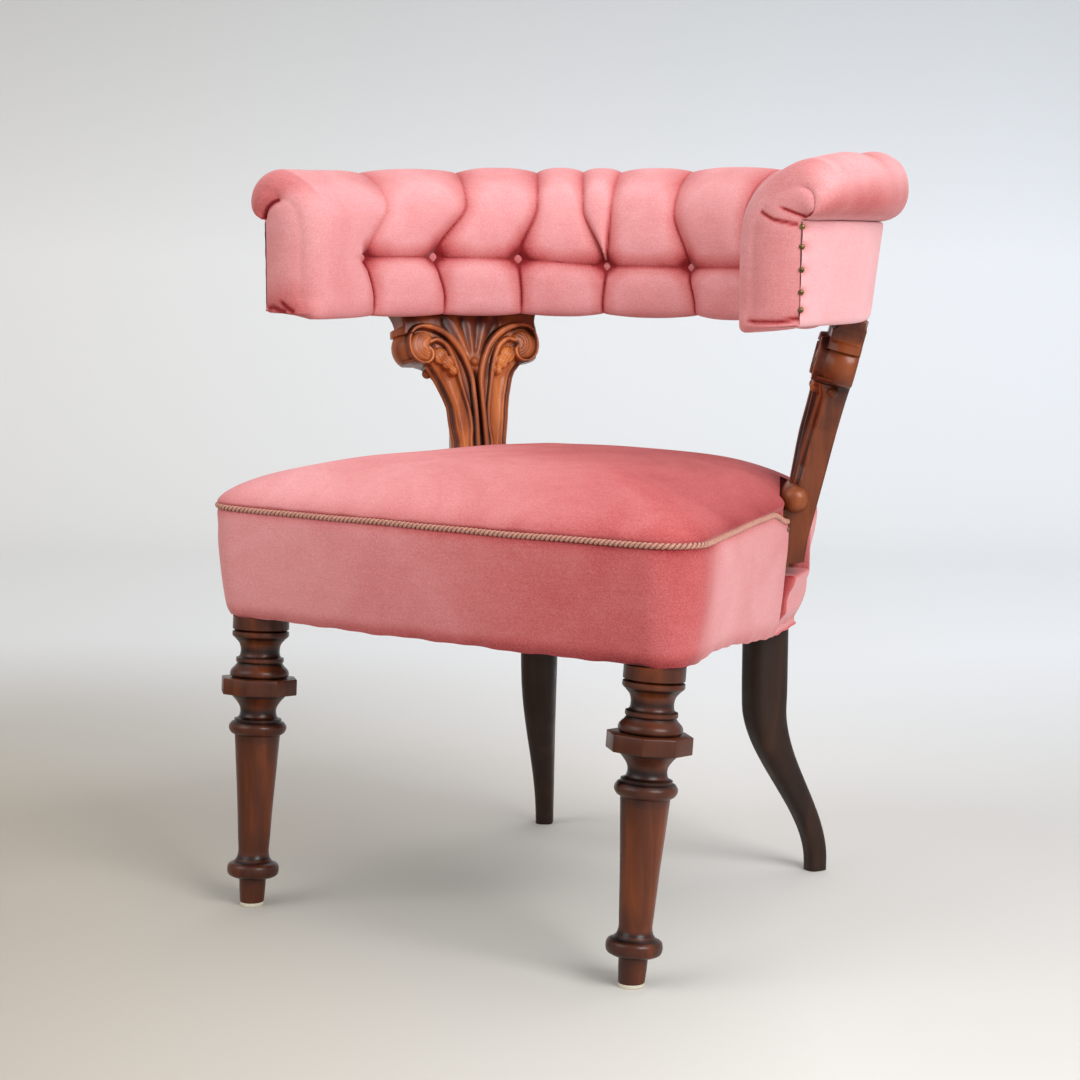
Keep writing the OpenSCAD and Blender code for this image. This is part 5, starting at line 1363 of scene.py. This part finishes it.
def makeScroll(form):
    half = form["outline"]
    roll = turnedPiece("scroll", curveThrough([(r, -z) for r, z in half[:0:-1]] + half, 90), 48)
    setMask(roll, "recessAndShade", form["recessAndShade"])
    setMask(roll, "wearAndHighlight", form["wearAndHighlight"])
    reach = board["r0"] + (form["z"] - board["z0"]) * math.tan(math.radians(board["lean"])) - form["inset"]
    y, z = onBoard(reach, form["z"])
    return moved(roll, at(0, y, z) @ rotated(90, "Y"))


# small knob carved under each volute
knobForm = {"radius": 5.6, "places": [(52.0, -15.5, 69.5), (-50.5, -13.0, 69.0)], "recessAndShade": 0.3, "wearAndHighlight": 0.1}


def makeKnobs(form):
    made = []
    for place in form["places"]:
        knob = moved(flatBall(form["radius"], form["radius"], 24, 14), at(*place))
        setMask(knob, "recessAndShade", form["recessAndShade"])
        setMask(knob, "wearAndHighlight", form["wearAndHighlight"])
        made.append(knob)
    return made


def trimmedAt(piece, point, normal):
    pick(piece)
    editAll()
    bpy.ops.mesh.bisect(plane_co=point, plane_no=normal, use_fill=True, clear_outer=True)
    bpy.ops.object.mode_set(mode="OBJECT")
    return piece


upright = heldInBow(moved(makeBoard(carve), boardPlace), carve)
trimmedAt(upright, (0, 0, carve["trimZ"] * mm), (0, 0, 1))
footY, footZ = onBoard(*carve["tailFoot"])
footWay = boardPlace.to_3x3() @ Vector((0, carve["footSlope"], -1))
trimmedAt(upright, tuple(boardPlace @ Vector((0, footY * mm, footZ * mm))), tuple(footWay.normalized()))
extras = [moved(piece, boardPlace) for piece in [makeScroll(scrollForm)] + makeKnobs(knobForm)]
upright = joined("upright", [upright] + extras)
# the right upright takes the copy painted darker, the left the copy painted lighter
finishedPair(upright, "upright", (walnutUprightShaded, walnutUprightLit), ("upright_right", "upright_left"), 32)
print("uprights made", len(upright.data.polygons))


# front legs

legForm = {
    "footX": 231.0, "footY": -270.8, "rake": 26.5, "leanX": 6.0, "height": 298.7, "radius": 27.98,
    # [share of the radius, share of the height, sharp arris here]
    "shares": [
        (0.43, 0.0, 1), (0.475, 0.060, 0), (0.49, 0.096, 1), (0.74, 0.098, 1), (0.90, 0.107, 0), (0.948, 0.1255, 0),
        (0.90, 0.143, 0), (0.72, 0.1515, 1), (0.66, 0.158, 0), (0.60, 0.166, 1), (0.56, 0.182, 0), (0.585, 0.23, 0),
        (0.66, 0.36, 0), (0.745, 0.475, 0), (0.82, 0.576, 1), (0.83, 0.590, 1), (0.96, 0.597, 0), (1.045, 0.610, 0),
        (1.045, 0.622, 0), (0.96, 0.634, 1), (0.86, 0.638, 1), (0.86, 0.646, 1), (0.72, 0.652, 0), (0.66, 0.668, 0),
        (0.68, 0.686, 0), (0.80, 0.705, 0), (1.0, 0.726, 1), (1.0, 0.788, 1), (1.07, 0.796, 0), (1.05, 0.812, 0),
        (0.90, 0.828, 0), (0.82, 0.838, 1), (0.87, 0.843, 0), (0.87, 0.856, 1), (0.76, 0.861, 0), (0.715, 0.880, 0),
        (0.76, 0.903, 0), (0.92, 0.922, 1), (1.03, 0.932, 0), (1.03, 0.946, 1), (0.93, 0.950, 1), (1.03, 0.955, 1),
        (1.03, 1.0, 1),
    ],
    # hollows that hold dark glaze: share of the height, half width as such a share
    "hollows": [
        (0.098, 0.004), (0.1525, 0.005), (0.166, 0.006), (0.583, 0.006), (0.636, 0.006), (0.649, 0.006),
        (0.668, 0.012), (0.728, 0.005), (0.79, 0.004), (0.838, 0.006), (0.86, 0.006), (0.88, 0.012),
        (0.924, 0.005), (0.9505, 0.003),
    ],
    "glazeAndShade": 0.75, "wearAndHighlight": 0.25, "wornFrom": 0.2, "wornTo": 0.58,
    "collar": 75.0, "collarShares": (0.732, 0.787), "collarEase": 1.1, "collarGlaze": 0.05,
    "glide": 4.0, "glideShare": 0.435, "glideEase": 0.7,
}


def turningLine(form):
    line, run = [], []
    for r, z, sharp in form["shares"]:
        run.append((r * form["radius"], z * form["height"]))
        if sharp:
            if len(run) > 2:
                piece = curveThrough(run, max(4, 5 * len(run)))
                line.extend(piece[1:] if line else piece)
            else:
                line.extend(run[1:] if line else run)
            run = [run[-1]]
    return [(0.0, line[0][1])] + [tuple(p) for p in line] + [(0.0, line[-1][1])]


def makeFrontLeg(form):
    leg = turnedPiece("frontLegTurning", turningLine(form), 64)
    places = np.empty(len(leg.data.vertices) * 3, np.float32)
    leg.data.vertices.foreach_get("co", places)
    high = places[2::3] / mm / form["height"]
    hollow = np.zeros(len(high))
    for share, wide in form["hollows"]:
        hollow = np.maximum(hollow, np.exp(-((high - share) / wide) ** 2))
    onTaper = smoothStep((high - form["wornFrom"]) / 0.1) * smoothStep((form["wornTo"] - high) / 0.1)
    setMask(leg, "recessAndShade", form["glazeAndShade"] * hollow)
    setMask(leg, "wearAndHighlight", form["wearAndHighlight"] * onTaper)
    low, high = (share * form["height"] for share in form["collarShares"])
    collar = easedBlock(8, form["collar"] / 2 / math.cos(math.pi / 8), low, high, form["collarEase"], math.pi / 8)
    setMask(collar, "recessAndShade", form["collarGlaze"])
    setMask(collar, "wearAndHighlight", form["wearAndHighlight"])
    leg = joined("frontLeg", [leg, collar])
    rake = Matrix.Rotation(-math.atan(form["rake"] / form["height"]), 4, "X")
    lean = Matrix.Rotation(math.atan(form["leanX"] / form["height"]), 4, "Y")
    moved(leg, at(form["footX"], form["footY"], 0) @ rake @ lean)
    trimmedAt(leg, (0, 0, form["height"] * mm), (0, 0, 1))
    return trimmedAt(leg, (0, 0, form["glide"] * mm), (0, 0, -1))


def makeGlide(form):
    glide = easedBlock(48, form["radius"] * form["glideShare"], 0, form["glide"], form["glideEase"])
    return moved(glide, at(form["footX"], form["footY"], 0))


finishedPair(makeFrontLeg(legForm), "frontLeg", (walnut, walnut), ("front_leg_right", "front_leg_left"), 32)
finishedPair(makeGlide(legForm), "frontGlide", (felt, felt), ("front_glide_right", "front_glide_left"), 40)
print("front legs made")


# rear legs

rearForm = {
    "footX": 179.0, "footY": 189.0, "out": 33.0, "sweep": 61.0, "lowShare": 0.033, "spanShare": 0.6,
    "half": 22.5, "footShare": 0.5, "across": 0.9, "turn": -28.0, "height": 298.7, "square": 3.2,
    "sides": 40, "steps": 60, "wearAndHighlight": 0.3, "ease": 0.9,
}


def makeRearLeg(f):
    share = np.linspace(0, 1, f["steps"])
    s = smoothStep((share - f["lowShare"]) / f["spanShare"])
    half = f["half"] * (f["footShare"] + (1 - f["footShare"]) * smoothStep(share * 1.35 + 0.02))
    a = np.linspace(0, 2 * np.pi, f["sides"], endpoint=False) + 0.08
    q = (np.abs(np.cos(a)) ** f["square"] + np.abs(np.sin(a)) ** f["square"]) ** (-1 / f["square"])
    x, y = q * np.cos(a) * f["across"], q * np.sin(a)
    t = math.radians(f["turn"])
    px, py = x * math.cos(t) - y * math.sin(t), x * math.sin(t) + y * math.cos(t)
    points = np.stack([
        (f["footX"] - f["out"] * s)[:, None] + half[:, None] * px[None],
        (f["footY"] - f["sweep"] * s)[:, None] + half[:, None] * py[None],
        np.repeat((share * f["height"])[:, None], f["sides"], axis=1),
    ], axis=-1)
    wear = np.repeat((f["wearAndHighlight"] * np.exp(-((share - 0.45) / 0.3) ** 2))[:, None], f["sides"], axis=1)
    masks = {"recessAndShade": wear * 0, "wearAndHighlight": wear}
    leg = shapedGrid("rearLeg", points, closed=True, capped=True, masks=masks, merge=0.01)
    eased = leg.modifiers.new("easedFoot", "BEVEL")
    eased.width = f["ease"] * mm
    eased.segments = 2
    eased.angle_limit = math.radians(50)
    applyModifiers(leg)
    return leg


rearPair = ("rear_leg_right", "rear_leg_left")
finishedPair(makeRearLeg(rearForm), "rearLeg", (walnutRear, walnutRear), rearPair, 40)
print("rear legs made")


# dust cover under the seat

coverForm = {"inset": 16.2, "z": 302.1, "thick": 0.8, "sag": 3.0, "midY": -50.0, "rings": 26}


def makeDustCover(c):
    rim = drawnIn(seatOutline, c["inset"])
    mid = np.array([0, c["midY"]])
    rings = []
    for s in np.linspace(1, 0.02, c["rings"]):
        p = mid + (rim - mid) * s
        z = c["z"] - c["thick"] - c["sag"] * (1 - s ** 2) + 0.3 * np.sin(p[:, 0] / 23) * np.sin(p[:, 1] / 31)
        rings.append(np.column_stack([p, np.minimum(z, c["z"] - c["thick"])]))
    cover = shapedGrid("dustCover", np.array(rings), closed=True, capped=False)
    thick = cover.modifiers.new("cloth", "SOLIDIFY")
    thick.thickness = c["thick"] * mm
    thick.offset = 0
    applyModifiers(cover)
    return cover


dustCover = finished(makeDustCover(coverForm), blackCloth, ("dust_cover",), 40)
print("dust cover made")


# carried-over parts

carried = {
    beech: [
        "front_rail", "left_rail", "right_rail", "back_rail", "front_corner_posts", "rear_corner_posts",
        "rail_dowels", "bow_lower_rail", "bow_upper_rail", "bow_posts",
    ],
    jute: ["webbing_lengthwise", "webbing_crosswise"],
    hessian: ["spring_hessian", "bow_lining"],
    springSteel: ["seat_springs"],
    brass: ["tail_screws", "capital_screws"],
}
for material, names in carried.items():
    for name in names:
        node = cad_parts[name]
        node.data.materials.clear()
        node.data.materials.append(material)
print("carried parts dressed")


# camera, floor and light

cameraForm = {"place": (1.3426, -2.0498, 0.6819), "azimuth": 34.35, "down": 7.29, "roll": 0.3, "lens": 78.33}


def makeCamera(form):
    data = bpy.data.cameras.new("photoCamera")
    camera = bpy.data.objects.new("photoCamera", data)
    bpy.context.collection.objects.link(camera)
    data.sensor_width = 36.0
    data.lens = form["lens"]
    data.clip_end = 60.0
    a, e, r = (math.radians(form[k]) for k in ("azimuth", "down", "roll"))
    back = Vector((math.sin(a) * math.cos(e), -math.cos(a) * math.cos(e), math.sin(e)))
    right = Vector((math.cos(a), math.sin(a), 0))
    up = back.cross(right)
    rolledRight = right * math.cos(r) + up * math.sin(r)
    rolledUp = -right * math.sin(r) + up * math.cos(r)
    turn = Matrix((rolledRight, rolledUp, back)).transposed().to_4x4()
    camera.matrix_world = Matrix.Translation(form["place"]) @ turn
    bpy.context.scene.camera = camera
    return camera


makeCamera(cameraForm)

studio = {
    "wallAt": 4.2, "curve": 1.6, "wide": 14.0,
    # paint along the sweep, graded brighter up the wall as painted light: metres from the chair back along the floor
    # and up the wall, colour, glow
    "paint": [
        (-1.5, (214, 210, 203), (0, 0, 0)), (0.3, (211, 208, 203), (0, 0, 0)), (1.4, (230, 232, 235), (0, 0, 0)),
        (3.0, (238, 240, 242), (46, 48, 50)), (4.5, (237, 239, 242), (72, 75, 79)),
        (5.6, (216, 219, 222), (24, 24, 25)),
    ],
    # painted shadow: the floor to the near left is darker and warmer where the chair's shadow falls; the near right is
    # a little darker, the far left a little warmer
    "leftNear": (198, 189, 174), "rightNear": (226, 229, 233), "leftFar": (245, 240, 233),
}


# paper sweep, its floor running up into the wall behind the chair
def makeStudio(form):
    steps = 24
    a = math.radians(cameraForm["azimuth"])
    away = Vector((-math.sin(a), math.cos(a), 0))
    side = Vector((math.cos(a), math.sin(a), 0))
    profile = [(-9.0, 0.0), (-4.0, 0.0), (0.0, 0.0), (form["wallAt"] - form["curve"], 0.0)]
    bends = [math.pi / 2 * (k + 1) / steps for k in range(steps)]
    profile += [(form["wallAt"] + form["curve"] * (math.sin(t) - 1), form["curve"] * (1 - math.cos(t))) for t in bends]
    profile += [(form["wallAt"], 4.0), (form["wallAt"], 8.0)]
    across = np.linspace(-form["wide"], form["wide"], 9)
    points = np.array([[[*(away * d + side * w).xy, z] for w in across] for d, z in profile]) / mm
    floor = shapedGrid("studioFloor", points)
    pick(floor)
    bpy.ops.object.shade_smooth()
    material, tree, shader = blank("studioPaper", 0.85, Specular_IOR_Level=0.15)
    link = tree.links.new
    place = put(tree, "ShaderNodeTexCoord", -1300)
    turned = put(tree, "ShaderNodeMapping", -1120, 0, {"Rotation": (0.0, 0.0, -a)})
    split = put(tree, "ShaderNodeSeparateXYZ", -940)
    along = put(tree, "ShaderNodeMath", -780, 0, operation="ADD")
    link(place.outputs["Object"], turned.inputs["Vector"])
    link(turned.outputs["Vector"], split.inputs["Vector"])
    link(split.outputs["Y"], along.inputs[0])
    link(split.outputs["Z"], along.inputs[1])
    first, last = form["paint"][0][0], form["paint"][-1][0]

    def ranged(source, low, high, y):
        node = put(tree, "ShaderNodeMapRange", -600, y, {"From Min": low, "From Max": high})
        link(source, node.inputs["Value"])
        return node.outputs["Result"]

    share = ranged(along.outputs[0], first, last, 200)
    colour = ramp(tree, -400, 300, [((d - first) / (last - first), tone(*paint)) for d, paint, _ in form["paint"]])
    glow = ramp(tree, -400, 50, [((d - first) / (last - first), tone(*lit)) for d, _, lit in form["paint"]])
    white = tone(255, 255, 255)
    near = ramp(tree, -400, -200, [(0.0, tone(*form["leftNear"])), (0.5, white), (1.0, tone(*form["rightNear"]))])
    far = ramp(tree, -400, -450, [(0.0, tone(*form["leftFar"])), (1.0, white)])
    link(share, colour.inputs["Fac"])
    link(share, glow.inputs["Fac"])
    link(ranged(split.outputs["X"], -0.8, 1.2, -200), near.inputs["Fac"])
    link(ranged(split.outputs["X"], -1.5, 1.2, -450), far.inputs["Fac"])

    def blended(kind, factor, a, b, x, y):
        node = put(tree, "ShaderNodeMix", x, y, data_type="RGBA", blend_type=kind)
        node.inputs["Factor"].default_value = 1.0
        if factor:
            link(factor, node.inputs["Factor"])
        link(a, node.inputs["A"])
        link(b, node.inputs["B"])
        return node.outputs["Result"]

    depthShare = ranged(along.outputs[0], 0.1, 1.5, -700)
    edge = blended("MIX", depthShare, near.outputs["Color"], far.outputs["Color"], -150, -300)
    link(blended("MULTIPLY", None, colour.outputs["Color"], edge, 50, 200), shader.inputs["Base Color"])
    link(blended("MULTIPLY", None, glow.outputs["Color"], edge, 50, -50), shader.inputs["Emission Color"])
    # painted light: the paper glows, seen only by the camera and in reflections
    seen = put(tree, "ShaderNodeLightPath", -250, -700)
    total = seen.outputs["Is Camera Ray"]
    for step, ray in enumerate(("Is Glossy Ray", "Is Transmission Ray")):
        both = put(tree, "ShaderNodeMath", -50 + 150 * step, -700, operation="ADD", use_clamp=True)
        link(total, both.inputs[0])
        link(seen.outputs[ray], both.inputs[1])
        total = both.outputs[0]
    link(total, shader.inputs["Emission Strength"])
    floor.data.materials.append(material)


makeStudio(studio)

lamps = [
    # name, place, aim, size, watts, colour
    ("keySoft", (2.9, -0.9, 2.3), (0, -0.05, 0.5), 2.0, 112, (0.98, 0.99, 1.0)),
    ("fillSoft", (-1.5, -3.0, 2.6), (0, 0, 0.5), 2.6, 52, (1.0, 0.98, 0.96)),
    ("topSoft", (0.0, 1.2, 3.4), (0, 0, 0.4), 2.4, 30, (1.0, 1.0, 1.0)),
]
for name, place, aim, size, power, colour in lamps:
    data = bpy.data.lights.new(name, "AREA")
    data.shape, data.size, data.energy, data.color = "SQUARE", size, power, colour
    lamp = bpy.data.objects.new(name, data)
    bpy.context.collection.objects.link(lamp)
    lamp.location = place
    lamp.rotation_euler = (Vector(aim) - Vector(place)).to_track_quat("-Z", "Y").to_euler()

sky = {"Color": (0.93, 0.96, 1.0, 1.0), "Strength": 0.62}
world = bpy.data.worlds.new("studioWorld")
world.use_nodes = True
for key, value in sky.items():
    world.node_tree.nodes["Background"].inputs[key].default_value = value
bpy.context.scene.world = world
bpy.context.scene.view_settings.view_transform = "Standard"
print("studio made")
